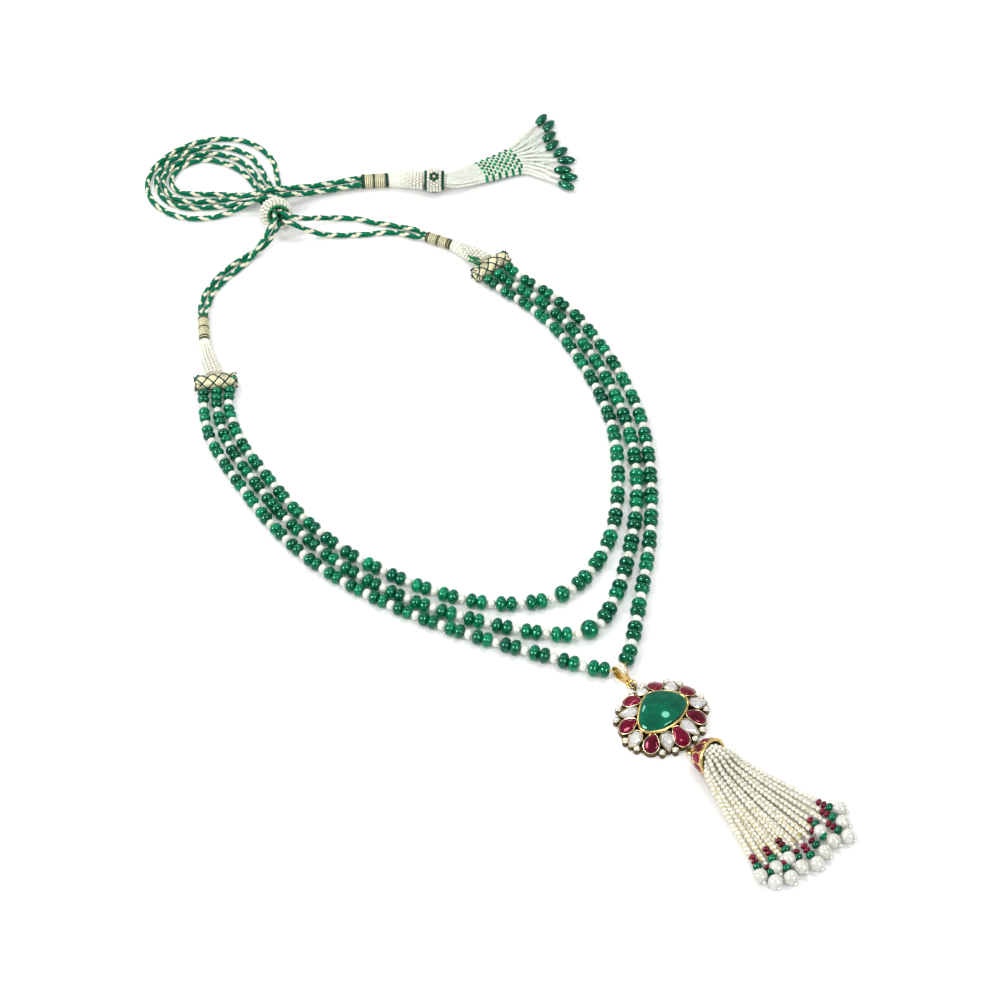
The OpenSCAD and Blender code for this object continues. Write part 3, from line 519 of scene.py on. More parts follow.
# For each bar: middle x and y, and heading
BAR_ROWS = [((53.8, 121.0), 23.0), ((53.8, 118.9), 8.0)]
BAR_RADIUS = 2.8
BAR_LENGTH = 13.8
STRAND_PITCH = 4.6
STRANDS = ("inner", "middle", "outer")
SIDES = ("left", "right")
# For each strand: points near the left bar, near the right bar, and on to the middle
STRAND_ROWS = [
    ([(54.7, 110.4), (57.8, 100.4), (58.9, 91)], [(51.5, 109), (55, 100.4), (57.2, 92)],
     [(58.7, 80), (57.3, 58), (52.2, 36), (41.9, 15.5), (28.5, -2.5), (14.5, -13), (0, -17.3)]),
    ([(58.8, 110.9), (62, 100.7), (63.3, 91)], [(55.9, 109.4), (59.5, 100.6), (61.7, 92)],
     [(63.3, 80), (62.1, 58), (56.6, 33.2), (46.5, 11), (32.5, -8.5), (15, -26.5), (0, -34.4)]),
    ([(63.2, 112), (66.8, 101.5), (67.9, 91)], [(60.4, 109.8), (64, 101), (66.3, 92)],
     [(68.1, 80), (67, 56), (62, 33), (51, 9.5), (36, -13.5), (18, -35.3), (9.4, -45.4), (4.6, -50), (0, -52.6)]),
]
# Width, length and y of the larger beads in the middle of the inner and the middle strand
CENTRE_BEADS = [(5.9, 4.6, -17.3), (6.5, 5.6, -34.4)]
# For each strand: length of bare thread before its middle, and height of the thread there
END_CLEAR = [2.5, 3.0, 3.2]
END_HEIGHT = [2.95, 3.25, 2.7]
START_CLEAR = 0.35
BEAD_GAP = 0.25
THREAD_RADIUS = 0.28
EMERALD_FLATNESS = 0.62
PEARL_FLATNESS = 0.93
BEAD_GROWTH = 1.2
# Length in which a strand comes down from its bar to the floor
COME_DOWN = 10.0
DIP_IN_BAIL = 2.1

WRAP_Z = 1.85
# For each wrap: x and y of its end at the cords and of its end at the sleeve
WRAP_ROWS = [((43.4, 149.6), (48, 140.2)), ((42.1, 143.3), (47.6, 135.6))]
# Sections of a sleeve from the wrap to the bar: x, y, z, heading, width, height
SLEEVE_ROWS = [
    [(48.15, 139.9, 1.85, -64, 3.8, 3.6), (49.6, 135.8, 2.1, -71, 4.6, 3.9), (51.1, 130.6, 2.4, -75, 5.5, 4.3),
     (52.5, 124, 2.8, -67, 6.3, 4.6)],
    [(47.8, 135.35, 1.85, -55, 3.8, 3.6), (49.5, 131.6, 2.1, -65, 4.7, 3.9), (51.3, 127.4, 2.4, -67, 6, 4.3),
     (53.35, 122, 2.8, -82, 7, 4.6)],
]
# Loose green seed beads beside the right bar
GREEN_TUFT = [[(48.8, 125.3, 4.9), (49.3, 122.6, 5.3), (50.3, 119.6, 5.5)],
              [(47.9, 123.6, 4.6), (48.8, 121.2, 5.0), (49.4, 118.8, 5.3)],
              [(49.8, 123.4, 5.3), (50.9, 121.4, 5.7)]]
BALL_RADIUS = 5.9
BALL_MIDDLE = np.array([0.5, 176.9, BALL_RADIUS])
BALL_ALONG, BALL_SIDE, BALL_UP = axes(toward(-103, 30))
END_WRAP = np.array([(35.2, 177.5, 2.6), (43.8, 173.3, 2.6)])
BUNDLE = [(-2.2, 188.5, 4.6), (3.6, 186.4, 5.6), (9.9, 184.2, 5.2), (16.9, 182.7, 3.5), (23.7, 181.2, 2.7),
          (29.8, 179.3, 2.6)]
CORDS = ("left_a", "left_b", "right_a", "right_b")
# Just past its wrap: half the distance between partner cords, and the distance from the wrap
DRAWN_IN = ((0.73, 0.02), (0.82, 1.6))
# Distances along the ball's bore through which its cords run
BALL_STOPS = (4.6, 0, -4.8)
# Half the distance between cords side by side in the ball and in the bundle, and how far the bundle leans over
BALL_SPREAD = 1.2
BUNDLE_SPREAD = 1.12
BUNDLE_LEAN = math.radians(39)
# Side of the wrap, side and layer in the ball, across and along the lean in the bundle
CORD_SLOTS = [(-1, -1, 1, 1, 1), (1, -1, -1, -1, 1), (-1, 1, 1, 1, -1), (1, 1, -1, -1, -1)]
# Cords from their wrap to the ball, then from the ball round the loop
CORD_STARTS = [
    [(-38.9, 154.6, 1.2), (-34.2, 159.2, 1.1), (-28, 162.2, 1.1), (-21.6, 164.2, 1.1), (-15.6, 165.9, 2.2),
     (-10.9, 167.2, 5.4), (-6.9, 168.6, 8.6), (-3.4, 170.8, 10.1)],
    [(-40.8, 156.1, 1.2), (-35.8, 160.9, 1.1), (-29.2, 164.6, 1.1), (-22.4, 166.9, 1.1), (-16, 168.2, 1.1),
     (-11.6, 167.6, 2.1), (-8, 167.5, 4.4), (-4.8, 168.2, 6.8), (-2.5, 170.1, 7.7)],
    [(40.8, 148.1, 1.4), (37.4, 152, 1.1), (33.6, 155.8, 1.1), (29.6, 159.4, 1.1), (25.6, 163.8, 1.1),
     (20.6, 167.2, 1.2), (14.6, 168.6, 3.2), (9.8, 168.3, 5.9), (5.4, 168.2, 8.5), (2.7, 169.2, 9.9),
     (1.1, 171.3, 9.9)],
    [(38.6, 145.9, 1.4), (35.8, 149.4, 1.1), (32, 152.4, 1.1), (26.8, 154.8, 1.1), (21.6, 157.2, 1.1), (17, 159.8, 1.1),
     (12.8, 162.2, 1.3), (8.8, 164.2, 3), (5.4, 165.6, 5.4), (2.7, 167.4, 7.4), (1, 169.9, 7.8)],
]
CORD_LOOPS = [
    [(1.6, 183.4, 3.3), (2.7, 186.2, 1.5), (3.7, 190.6, 1.1), (4.7, 196.4, 1.1), (4.9, 202.4, 1.1), (4, 208.6, 1.1),
     (0.7, 214.4, 1.1), (-4.4, 218.8, 1.1), (-11, 220.5, 1.1), (-17.8, 219.7, 1.1), (-23.4, 216.8, 1.1),
     (-25.9, 211.3, 1.1), (-25, 205.4, 1.1), (-20.8, 201, 1.1), (-14.8, 197.8, 1.1), (-9.6, 194.4, 2.3),
     (-5.7, 191, 4.8)],
    [(0, 183.9, 1.2), (0.7, 188.6, 1.1), (2, 194.6, 1.1), (2.2, 201, 1.1), (0.9, 207, 1.1), (-2.2, 212.2, 1.1),
     (-6.6, 216.6, 1.1), (-12.2, 218.1, 1.1), (-17.9, 217.1, 1.1), (-22.3, 213.4, 1.1), (-22.6, 208.3, 1.1),
     (-19, 204.4, 1.1), (-13.4, 201, 1.1), (-8.4, 197.5, 1.2), (-5, 193.8, 2.5)],
    [(4.7, 182.6, 3.3), (7.2, 185, 1.3), (9.2, 189.6, 1.1), (11, 195.8, 1.1), (13.4, 202, 1.1), (13.4, 208.8, 1.1),
     (11, 215.6, 1.1), (6, 221, 1.1), (-1, 224.6, 1.1), (-9, 226, 1.1), (-17.2, 225.2, 1.1), (-24.6, 222.2, 1.1),
     (-30, 216.8, 1.1), (-32.4, 209.6, 1.1), (-31, 202.2, 1.1), (-26.8, 195.8, 1.1), (-20, 191.4, 1.1),
     (-13.4, 189.4, 1.4), (-7.6, 188, 3)],
    [(4, 183.9, 1.1), (6, 188.4, 1.1), (7.1, 194.6, 1.1), (8, 202, 1.1), (8, 209, 1.1), (5, 215.4, 1.1),
     (-0.2, 220.2, 1.1), (-7.2, 222.9, 1.1), (-14.4, 223.2, 1.1), (-21, 221.4, 1.1), (-26, 217.2, 1.1),
     (-28.4, 211.2, 1.1), (-27.6, 204.8, 1.1), (-23.4, 199.2, 1.1), (-16.4, 195.3, 1.1), (-10, 192.2, 1.3),
     (-5.6, 190, 2.3)],
]

# Sections of the end sleeve, and the fan of strings behind the barrel
END_SLEEVE_ROWS = [(44.1, 173.1, 2.6, -28, 4.6, 4.6), (46.6, 171.5, 2.9, -34, 5.5, 5.2),
                   (49.6, 169.2, 3.4, -37, 6.2, 5.8), (53.6, 165.5, 4.1, -31.5, 6.6, 6.4)]
END_ALONG = toward(-31.5)
BARREL_FROM = np.array([53.9, 165.2, 4.4])
BARREL_LENGTH = 7.1
BARREL_RADIUS = 4.4
FAN_ORIGIN = np.array([50, 160.8, 0])
# Distance from the fan's origin, middle heading, half angle, z, height
FAN_ROWS = np.array([(12, -3, 12.5, 4.2, 4.8), (17, -3, 11.5, 3.3, 4.6), (24, -3, 10.2, 2.6, 3.8),
                     (37.5, -3.5, 9.2, 2, 3.2), (43, -5, 12.6, 1.8, 2.8), (47.5, -6.9, 16.6, 1.6, 2.4)], float)
# Drops: x, y and heading of the outer tip
DROP_ROWS = [(106.3, 171.6, 25), (106.9, 167.6, 22), (104.3, 163, 11), (103, 158.7, 12), (103.8, 154.4, 6),
             (103.6, 149.8, -27), (100, 146.4, -30), (100, 142.3, -30), (97.1, 139.2, -56)]
DROP_LENGTH = 6.4
DROP_WIDTH = 3.5

PENDANT = np.array([1.8, -75.2, 0])
PENDANT_TURN = 3.8
# Reach of the centre stone's edge from the pendant's middle, at even steps round it from the top
STONE_REACHES = [7.5, 7, 6.6, 6.5, 6.5, 6.9, 7.6, 8.5, 9.2, 8.9, 8, 7.2, 6.5, 6, 5.8, 5.7, 5.8, 6.1, 6.7, 7.5, 8.5,
                 8.8, 8.5, 8, 7.6, 7.3, 7.2, 7.3]
PETALS = 14
# Reach of each petal's collet from the pendant's middle
PETAL_ENDS = [13.6, 13.9, 13.7, 14.8, 15.6, 15, 13.5, 13.8, 13.8, 14.5, 15.9, 15.5, 14.9, 14.3]
# Height of a petal's collet at the centre stone and at the petal's tip
PETAL_HIGH = 4.7
PETAL_LOW = 2.0
# Half widths of the oval on which the rim stones sit
RIM_HALF = (14.9, 13.4)
BAIL_MIDDLE = np.array([0, -53.7, 2.6])
BAIL_TURN = 7.0
CAP_MIDDLE = np.array([5.7, -99.3, 6.25])
CAP_ALONG = toward(-66, 25)
CAP_RADIUS = 6.0
CAP_DEPTH = 7.3
TASSEL_HEADING = -78.5
TASSEL_HALF_ANGLE = 18.3
TASSEL_BACK = 14.5
TASSEL_ORIGIN = np.array([2.4, -84.8, 0])
# Distance from the cap's mouth, z, height
TASSEL_ROWS = np.array([(4, 6, 8), (8, 4.3, 6.8), (18, 2.9, 4.8), (30, 2.2, 3.6), (38.8, 1.8, 2.8)])
PEARL_ROWS = np.array([(30.8, -133.8), (28.6, -138.6), (27.2, -143.8), (20.6, -138), (22.3, -143), (17.6, -145),
                       (13.2, -147.4), (8.4, -146), (6.6, -141.4), (1.4, -142.2), (3.4, -147.6), (-1.6, -146.4),
                       (-4.4, -142.2)])


def mirrored(rows):
    """Rows that start with x, y, z and heading, mirrored from the right side to the left."""
    rows = np.array(rows, float)
    rows[:, 0] *= -1
    rows[:, 3] = 180 - rows[:, 3]
    return rows


def wrap_ends(side):
    """Ends of a thread wrap at the cords and at the sleeve."""
    ends = np.array([(*end, WRAP_Z) for end in WRAP_ROWS[side]])
    if side == 0:
        ends[:, 0] *= -1
    return ends


def cord_route(i):
    """Points that a cord follows from its wrap through the ball, round the loop and into the end wrap. Near its wrap
    it is drawn in toward its partner."""
    slot = CORD_SLOTS[i]
    far, near = wrap_ends(i // 2)
    along, across, _ = axes(far - near)
    leaving = [far + slot[0] * apart * across + ahead * along for apart, ahead in DRAWN_IN]
    in_ball = [BALL_MIDDLE + t * BALL_ALONG + BALL_SPREAD * (slot[1] * BALL_SIDE + slot[2] * BALL_UP)
               for t in BALL_STOPS]
    end_along = unit(END_WRAP[1] - END_WRAP[0])
    bundle = np.concatenate([BUNDLE, [END_WRAP[0] - 2 * end_along, END_WRAP[0] - 0.02 * end_along]])
    ahead = np.concatenate([bundle[1:], bundle[-1:]]) - np.concatenate([bundle[:1], bundle[:-1]])
    ahead[-2:] = end_along
    _, level, up = axes(ahead)
    # Four cords in a square that leans over
    first = math.cos(BUNDLE_LEAN) * up - math.sin(BUNDLE_LEAN) * level
    second = math.cos(BUNDLE_LEAN) * level + math.sin(BUNDLE_LEAN) * up
    in_bundle = bundle + BUNDLE_SPREAD * (slot[3] * first + slot[4] * second)
    return np.concatenate([leaving, CORD_STARTS[i], in_ball, CORD_LOOPS[i], in_bundle])


def plait(path, at, thick, pitch, ribbons, wide, deep, rise, edge=None):
    """Plait of ribbons round a path, the same number each way. A ribbon's middle is at centre + r (cos a side +
    sin a up), with a = 2 pi (distance / pitch + number / ribbons), one way or the other, and r rises where it passes
    over and falls where it passes under. The first ribbon each way is pale. Edges of a third finish may run along both
    sides of every ribbon."""
    _, side, up = axes(direction(path))
    t = turns(6 if edge is None else 8)
    made = []
    for way in (1, -1):
        for number in range(ribbons):
            r = thick * (1 - deep - rise + way * rise * np.cos(2 * np.pi * ribbons * at / pitch))
            out = spokes(way * 2 * np.pi * at / pitch + number * 2 * np.pi / ribbons, side, up)
            middle = path + r[:, None] * out
            across = unit(np.cross(direction(middle), out))
            grid = middle[:, None] + (wide * thick)[:, None, None] * np.cos(t)[:, None] * across[:, None] \
                + (deep * thick)[:, None, None] * np.sin(t)[:, None] * out[:, None]
            finish, edges = int(number == 0), []
            if edge is not None:
                # A wide ribbon bends round the path
                finish = 0
                bend = (wide * thick * np.cos(t)[:, None])**2 / (2 * thick)
                grid -= bend.T[..., None] * out[:, None]
                drop = (wide**2 / 2 * thick - 0.1)[:, None] * out
                edges = [tube(middle + (end * wide * thick)[:, None] * across - drop, edge, 5, 0.4, 1)
                         for end in (-1, 1)]
            made += [closed_rings(grid, 0.5 + 0.1 * number, finish), *edges]
    return made


def braid(route, radius, pitch, pinch):
    """Round braid of three strands each way, over a plain core; it is pinched where it leaves its wrap."""
    samples, pinch_length, core_share = 24, 2.5, 0.62
    length = running(route)[-1]
    count = int(length / (pitch / samples)) + 1
    at = np.linspace(0, length, count)
    path = at_length(route, at)
    thick = (1 - pinch * np.exp(-at / pinch_length)) * radius
    made = plait(path, at, thick, pitch, ribbons=3, wide=0.6, deep=0.2, rise=0.15)
    core = np.linspace(0, count - 1, count // 4).astype(int)
    # The core's low tone darkens it where it shows between the ribbons: painted shade
    made.append(tube(path[core], core_share * thick[core], 6, 0.1, 0))
    return made


# Stage: the camera's target and heading, and each light's name, place and width in metres and power in watts. The
# broad light makes no highlights, and the shine lights make nothing else.
TARGET = np.array([0.004, 0.029, 0])
CAMERA_HEADING = -120.8036
SENSOR_WIDTH = 36
FLOOR_HALF = 3.0
LIGHTS = [
    ("Broad light", (-0.35, -0.25, 0.85), 0.8, 1.6),
    ("Left light", (-0.66, 0.0, 0.66), 0.25, 2.1),
    ("Back light", (-0.15, 0.66, 0.6), 0.25, 2.1),
    ("Right light", (0.26, 0.115, 0.9), 0.22, 1.9),
    ("Front light", (0.14, -0.62, 0.78), 0.16, 1.1),
    ("Left shine", (-0.76, 0.06, 0.57), 0.5, 12),
    ("Front shine", (0.25, -0.85, 0.5), 0.4, 7),
]


def aimed(name, data, at, back):
    """A camera or light at a point, facing away from the direction back, with its X axis level."""
    z, x, y = axes(back)
    made = bpy.data.objects.new(name, data)
    made.matrix_world = Matrix([*np.column_stack([x, y, z, at]).tolist(), (0, 0, 0, 1)])
    bpy.context.scene.collection.objects.link(made)
    return made


class NECKLACE_OT_stage(bpy.types.Operator):
    """Camera at the photograph's angle, plain pale floor and soft white light"""

    bl_idname = "necklace.stage"
    bl_label = "Stage"

    def execute(self, context):
        s = context.scene.necklace_stage
        scene = context.scene
        scene.view_settings.view_transform = "Standard"
        world = bpy.data.worlds.new("White studio")
        world.use_nodes = True
        world.node_tree.nodes["Background"].inputs["Color"].default_value = (1, 1, 1, 1)
        world.node_tree.nodes["Background"].inputs["Strength"].default_value = s.sky
        scene.world = world
        back = toward(CAMERA_HEADING, math.degrees(s.elevation))
        camera = bpy.data.cameras.new("Camera")
        camera.lens, camera.sensor_width, camera.clip_start, camera.clip_end = s.lens, SENSOR_WIDTH, 0.05, 20
        scene.camera = aimed("Camera", camera, TARGET + s.distance * back, back)
        for name, place, width, power in LIGHTS:
            place = np.array(place)
            data = bpy.data.lights.new(name, "AREA")
            data.shape = "DISK"
            data.energy, data.size = power, width
            light = aimed(name, data, place, place - TARGET)
            light.visible_glossy = name != "Broad light"
            light.visible_diffuse = light.visible_transmission = "shine" not in name
        mesh = bpy.data.meshes.new("Floor")
        corners = [(x * FLOOR_HALF, y * FLOOR_HALF, 0) for x, y in ((-1, -1), (1, -1), (1, 1), (-1, 1))]
        mesh.from_pydata(corners, [], [(0, 1, 2, 3)])
        made, _, shader = new_finish("Pale floor", 0.9, gloss=0.1)
        shader.inputs["Base Color"].default_value = (*s.floor, 1)
        mesh.materials.append(made)
        floor = bpy.data.objects.new("Floor", mesh)
        scene.collection.objects.link(floor)
        return {"FINISHED"}


class NECKLACE_OT_cords(bpy.types.Operator):
    """Four braided silk cords from the wraps through the ball, round the loop and into the end wrap"""

    bl_idname = "necklace.cords"
    bl_label = "Silk cords"

    def execute(self, context):
        s = context.scene.necklace_cords
        finishes = [thread_finish("Green silk", s.silk, roughness=0.45, darker=0.45, shine=GREEN_SHINE),
                    thread_finish("Pale silk", s.fleck, roughness=0.45)]
        radius, pitch = s.thickness / MM / 2, s.pitch / MM
        for i, name in enumerate(CORDS):
            curve = smooth(with_ends(cord_route(i)), 8)
            make_piece("silk_cord_" + name, braid(curve, radius, pitch, 0.2), finishes, ["cord_" + name])
        return {"FINISHED"}


class NECKLACE_OT_declare_cords(bpy.types.Operator):
    """Works out the route of each of the four silk cords, and keeps nothing"""

    bl_idname = "necklace.declare_cords"
    bl_label = "Declare the cords"

    def execute(self, context):
        for i, name in enumerate(CORDS):
            route = cord_route(i)
        return {"FINISHED"}


# Strands and their bars

# Two emeralds (1), then a pearl (0)
GROUP = (1, 1, 0)
# For the left and the right half of each strand: its beads from the bar to the middle, by numbers of groups. The left
# middle strand lacks a pearl.
BEAD_KINDS = [(GROUP * 18,) * 2, ((1,) + GROUP * 6 + (1, 1) + GROUP * 13, (1,) + GROUP * 19),
              (GROUP * 21 + (1, 1),) * 2]


def strand_places(strand, side, sizes):
    """Centres, directions, lengths, widths and kinds of the beads of half a strand, and its thread's points.

    A bead's width grows with the power 1.2 of its number's share of the count; lengths are width times flatness, scaled
    together so that the beads with their gaps fill the thread; each bead lies on the floor but near the bar."""
    (bx, by), turn = BAR_ROWS[side]
    front = toward(turn - 90)
    start = np.array([bx, by, 0]) + (strand - 1) * STRAND_PITCH * toward(turn) + BAR_RADIUS * front
    points = np.array(STRAND_ROWS[strand][side] + STRAND_ROWS[strand][2], float)
    steer = np.array([-points[-2][0], points[-2][1]])
    route = smooth(np.concatenate([[(start - 8 * front)[:2]], [start[:2]], points, [steer]]))
    run = running(route)
    kinds = np.array(BEAD_KINDS[strand][side])
    count = len(kinds)
    f = np.arange(count) / (count - 1)
    emerald = sizes[0] + (sizes[1] - sizes[0]) * f**BEAD_GROWTH
    pearl = sizes[2] + (sizes[3] - sizes[2]) * f**BEAD_GROWTH
    width = np.where(kinds == 1, emerald, pearl)
    wanted = width * np.where(kinds == 1, EMERALD_FLATNESS, PEARL_FLATNESS)
    scale = (run[-1] - START_CLEAR - END_CLEAR[strand] - (count - 1) * BEAD_GAP) / wanted.sum()
    length = wanted * scale
    middle = START_CLEAR + np.concatenate([[0], np.cumsum(length + BEAD_GAP)[:-1]]) + length / 2
    rest = scale * emerald / 2
    height = rest + (BAR_RADIUS - rest) * np.maximum(0, 1 - middle / COME_DOWN)
    centres, along = on_route(route, middle, 0.5)
    centres, along = np.column_stack([centres, height]), np.column_stack([along, np.zeros(count)])
    last = points[-1]
    if strand < 2:
        centres[-1] = (centres[-1][0], last[1], END_HEIGHT[strand])
        along[-1] = (-1, 0, 0)
    at_bar = np.array([start[0], start[1], BAR_RADIUS])
    end = np.array([0, last[1], END_HEIGHT[strand]])
    if strand == 2:
        end[1] -= DIP_IN_BAIL * centres[-1][0] / (centres[-1][0] + 0.6)
    # The thread starts a little inside the bar
    thread = np.concatenate([[at_bar - 1.2 * front, at_bar], centres, [end]])
    if side == 0:
        for rows in (centres, along, thread):
            rows[:, 0] *= -1
    return centres, along, length, width * scale, kinds, thread


class NECKLACE_OT_strands(bpy.types.Operator):
    """Six half strands of emerald rondelles and small pearls on gold thread"""

    bl_idname = "necklace.strands"
    bl_label = "Strands"

    def execute(self, context):
        s = context.scene.necklace_beads
        sizes = [v / MM for v in (s.small_emerald, s.large_emerald, s.small_pearl, s.large_pearl)]
        finishes = [emerald_finish(context), shared_finish("Small pearls", pearl_finish, s.pearl, through=0.1),
                    shared_finish("Gold thread", thread_finish, s.thread, metal=0.5)]
        for strand, strand_name in enumerate(STRANDS):
            for side, side_name in enumerate(SIDES):
                rng = np.random.default_rng(SEED + 2 * strand + side)
                centres, along, length, width, kinds, thread = strand_places(strand, side, sizes)
                surfaces = []
                # Shape and finish, what each bead is longer and wider than its solid, and how uneven it is
                for kind, shape, finish, longer, wider, uneven in ((1, RONDELLE, 0, 0.3, 1.05, 0.03),
                                                                   (0, PEARL, 1, 0.24, 1.2, 0.05)):
                    own = kinds == kind
                    surfaces.append(beads(shape, centres[own], along[own], length[own] + longer, width[own] * wider,
                                          rng, finish, uneven))
                surfaces.append(tube(thread, THREAD_RADIUS, 6, 0.5, 2))
                name = strand_name + "_" + side_name
                make_piece("beads_" + name, surfaces, finishes, ["strand_" + name])
        return {"FINISHED"}


class NECKLACE_OT_centre_beads(bpy.types.Operator):
    """Two larger emerald beads in the middle of the inner and the middle strand"""

    bl_idname = "necklace.centre_beads"
    bl_label = "Centre beads"

    def execute(self, context):
        shape = bead_shape(13, 32, 0.95, 0.86)
        for strand, (width, length, y) in enumerate(CENTRE_BEADS):
            rng = np.random.default_rng(SEED + 20 + strand)
            surfaces = [beads(shape, [(0, y, width / 2)], (1.0, 0, 0), length, width, rng, 0, 0.0, 0.6)]
            make_piece("centre_emerald_" + STRANDS[strand], surfaces, [emerald_finish(context)],
                       ["centre_bead_" + STRANDS[strand]])
        return {"FINISHED"}


def wound_profile(length, radius, pitch, height):
    """Profile of thread wound round a rod: radius - height (1 - |cos|) of the distance over the pitch, round at both
    ends, with a tone in a third column that paints shade into the grooves and light onto the ridge tops."""
    samples, rounding = 6, 0.3
    x = np.linspace(0, length, int(round(length / pitch)) * samples + 1)
    ridge = np.abs(np.cos(np.pi * x / pitch))
    near = np.minimum(x, length - x).clip(0, rounding) / rounding
    r = radius - height + height * ridge - rounding * (1 - np.sqrt(1 - (1 - near)**2))
    # Painted shade and light: the tone is low in the grooves and high on the ridge tops
    return np.stack([x, r, 0.05 + 0.7 * ridge], 1)


def banded(profile, start, along, bands, sides):
    """Wound rod cut into rods of two finishes: bands lists the (from, to) distances of the dark ones, which stand out
    a little."""
    x = profile[:, 0]
    edges = sorted({0.0, float(x[-1])} | {min(e, float(x[-1])) for band in bands for e in band})
    made = []
    for a, b in zip(edges[:-1], edges[1:]):
        dark = any(a >= low - 1e-6 and b <= high + 1e-6 for low, high in bands)
        keep = (x > a + 1e-6) & (x < b - 1e-6)
        ends = [(e, np.interp(e, x, profile[:, 1]), np.interp(e, x, profile[:, 2])) for e in (a, b)]
        cut = np.concatenate([ends[:1], profile[keep], ends[1:]]) + [0, 0.06 * dark, 0]
        made.append(turned(cut, start, along, sides, cut[:, 2], int(dark)))
    return made


# A domed bar end: rise above the bar's end, radius and tone of each ring, and radius and rise of its two green hoops
# The low tones at the dome's foot and in its groove are painted shade
BAR_DOME = np.array([(-0.5, 2.25, 0.2), (-0.2, 2.2, 0.4), (-0.04, 2.0, 0.8), (0.04, 1.7, 0.7), (0.02, 1.35, 0.2),
                     (0.1, 1.25, 0.6), (0.22, 0.9, 0.8), (0.28, 0.45, 0.9), (0.3, 0.1, 0.9)])
DOME_HOOPS = ((2.28, -0.12), (1.3, 0.06))
# Radius, as a share of the bar's, at distances from the end of the core under the plait
BAR_CORE = np.array([(-0.1, 0.2), (0.0, 0.62), (0.4, 0.8), (1.2, 0.82)])
# Small green beads that lie on each bar
BAR_BEADS = [[(-58.6, 124.6, 5.1), (-59.6, 124.4, 4.6), (-48.3, 118.2, 5.2)], [(59.9, 120.6, 5.0), (60.7, 120.0, 4.0)]]


class NECKLACE_OT_bars(bpy.types.Operator):
    """Two bars in plaited pale gold ribbon with green edges, closed by domed ends and small green beads"""

    bl_idname = "necklace.bars"
    bl_label = "Bars"

    def execute(self, context):
        finishes = wound_finishes(context)[:2] + [emerald_finish(context)]
        at = np.linspace(0.35, BAR_LENGTH - 0.35, 67)
        near = np.minimum(at, BAR_LENGTH - at)
        thick = BAR_RADIUS * (1 - 0.2 * np.exp(-near / 0.55))
        far_core = BAR_CORE[::-1] * [-1, 1] + [BAR_LENGTH, 0]
        core = np.concatenate([BAR_CORE, far_core]) * [1, BAR_RADIUS]
        for side, side_name in enumerate(SIDES):
            (x, y), turn = BAR_ROWS[side]
            middle = np.array([x * (2 * side - 1), y, BAR_RADIUS])
            along = toward(turn if side else 180 - turn)
            start = middle - along * BAR_LENGTH / 2
            rng = np.random.default_rng(SEED + 40 + side)
            surfaces = plait(start + at[:, None] * along, at, thick, pitch=15.6, ribbons=4, wide=0.47, deep=0.05,
                             rise=0.04, edge=0.24)
            # The core's low tone darkens it where it shows between the ribbons: painted shade
            surfaces.append(turned(core, start, along, 32, 0.3, 0))
            for end, out in ((start, -along), (start + BAR_LENGTH * along, along)):
                surfaces.append(turned(BAR_DOME[:, :2], end, out, 28, BAR_DOME[:, 2], 0))
                _, level, up = axes(out)
                surfaces += [hoop(end + rise * out + radius * spokes(turns(28), level, up), 0.17, 0.4, 1)
                             for radius, rise in DOME_HOOPS]
            surfaces.append(beads(PEARL, BAR_BEADS[side], along, 1.2, 1.4, rng, 2, 0.1))
            make_piece("bound_bar_" + side_name, surfaces, finishes, ["bar_" + side_name])
        return {"FINISHED"}


END_WRAP_LENGTH = float(np.linalg.norm(END_WRAP[1] - END_WRAP[0]))
# Where the dark bands of the left, the right and the end wrap begin and end
WRAP_BANDS = [[(0, 1.1), (4.6, 5.2), (8.6, 9.1), (9.7, 10.5)], [(0, 1.1), (4.1, 4.9), (7.9, 8.4), (8.8, 9.5)],
              [(0, 1.2), (4.1, 4.8), (END_WRAP_LENGTH - 1.2, END_WRAP_LENGTH)]]


class NECKLACE_OT_wraps(bpy.types.Operator):
    """Thread wraps at the ends of the cords, with dark green bands"""

    bl_idname = "necklace.wraps"
    bl_label = "Wraps"

    def execute(self, context):
        pale, dark, olive = wound_finishes(context)
        # Name, node, ends, dark finish, radius, pitch, depth of the ridges and number of sides
        rows = [("thread_wrap_left", "wrap_left", wrap_ends(0), olive, 1.88, 0.68, 0.26, 24),
                ("thread_wrap_right", "wrap_right", wrap_ends(1), olive, 1.88, 0.68, 0.26, 24),
                ("end_thread_wrap", "end_wrap", END_WRAP, dark, 2.58, 0.7, 0.24, 28)]
        for bands, (name, node, (start, end), band_finish, radius, pitch, height, sides) in zip(WRAP_BANDS, rows):
            profile = wound_profile(float(np.linalg.norm(end - start)), radius, pitch, height)
            surfaces = banded(profile, start, end - start, bands, sides)
            make_piece(name, surfaces, [pale, band_finish], [node])
        return {"FINISHED"}


# Beaded nets

# How deep the middles of netted beads lie within a sleeve's skin
NET_DEPTH = 0.3


def section_grid(rows, u, v, grow):
    """Points on a sleeve: its sections are smoothed along u from 0 to 1, and each is the oval
    centre + width / 2 cos v side + height / 2 sin v up, grown by a margin."""
    fine = smooth(with_ends(rows), 12)
    share = np.linspace(0, 1, len(fine))
    s = np.stack([np.interp(u, share, fine[:, k]) for k in range(6)], -1)
    side = toward(s[..., 3] + 90)
    wide, high = s[..., 4:5] / 2 + grow, s[..., 5:6] / 2 + grow
    return s[..., :3] + wide * np.cos(v)[..., None] * side + high * np.sin(v)[..., None] * np.array([0, 0, 1.0])


def net(rows, lines, around, stagger):
    """Centres of netted beads in lines across a sleeve, and their directions; staggered, every other line is shifted
    by half a bead."""
    u, v = np.meshgrid((np.arange(lines) + 0.5) / lines, turns(around), indexing="ij")
    if stagger:
        v = v + (np.arange(lines) % 2)[:, None] * np.pi / around
    at, before, after = (section_grid(rows, np.minimum(1, u + step), v, -NET_DEPTH) for step in (0, -0.02, 0.02))
    return at.reshape(-1, 3), (after - before).reshape(-1, 3)


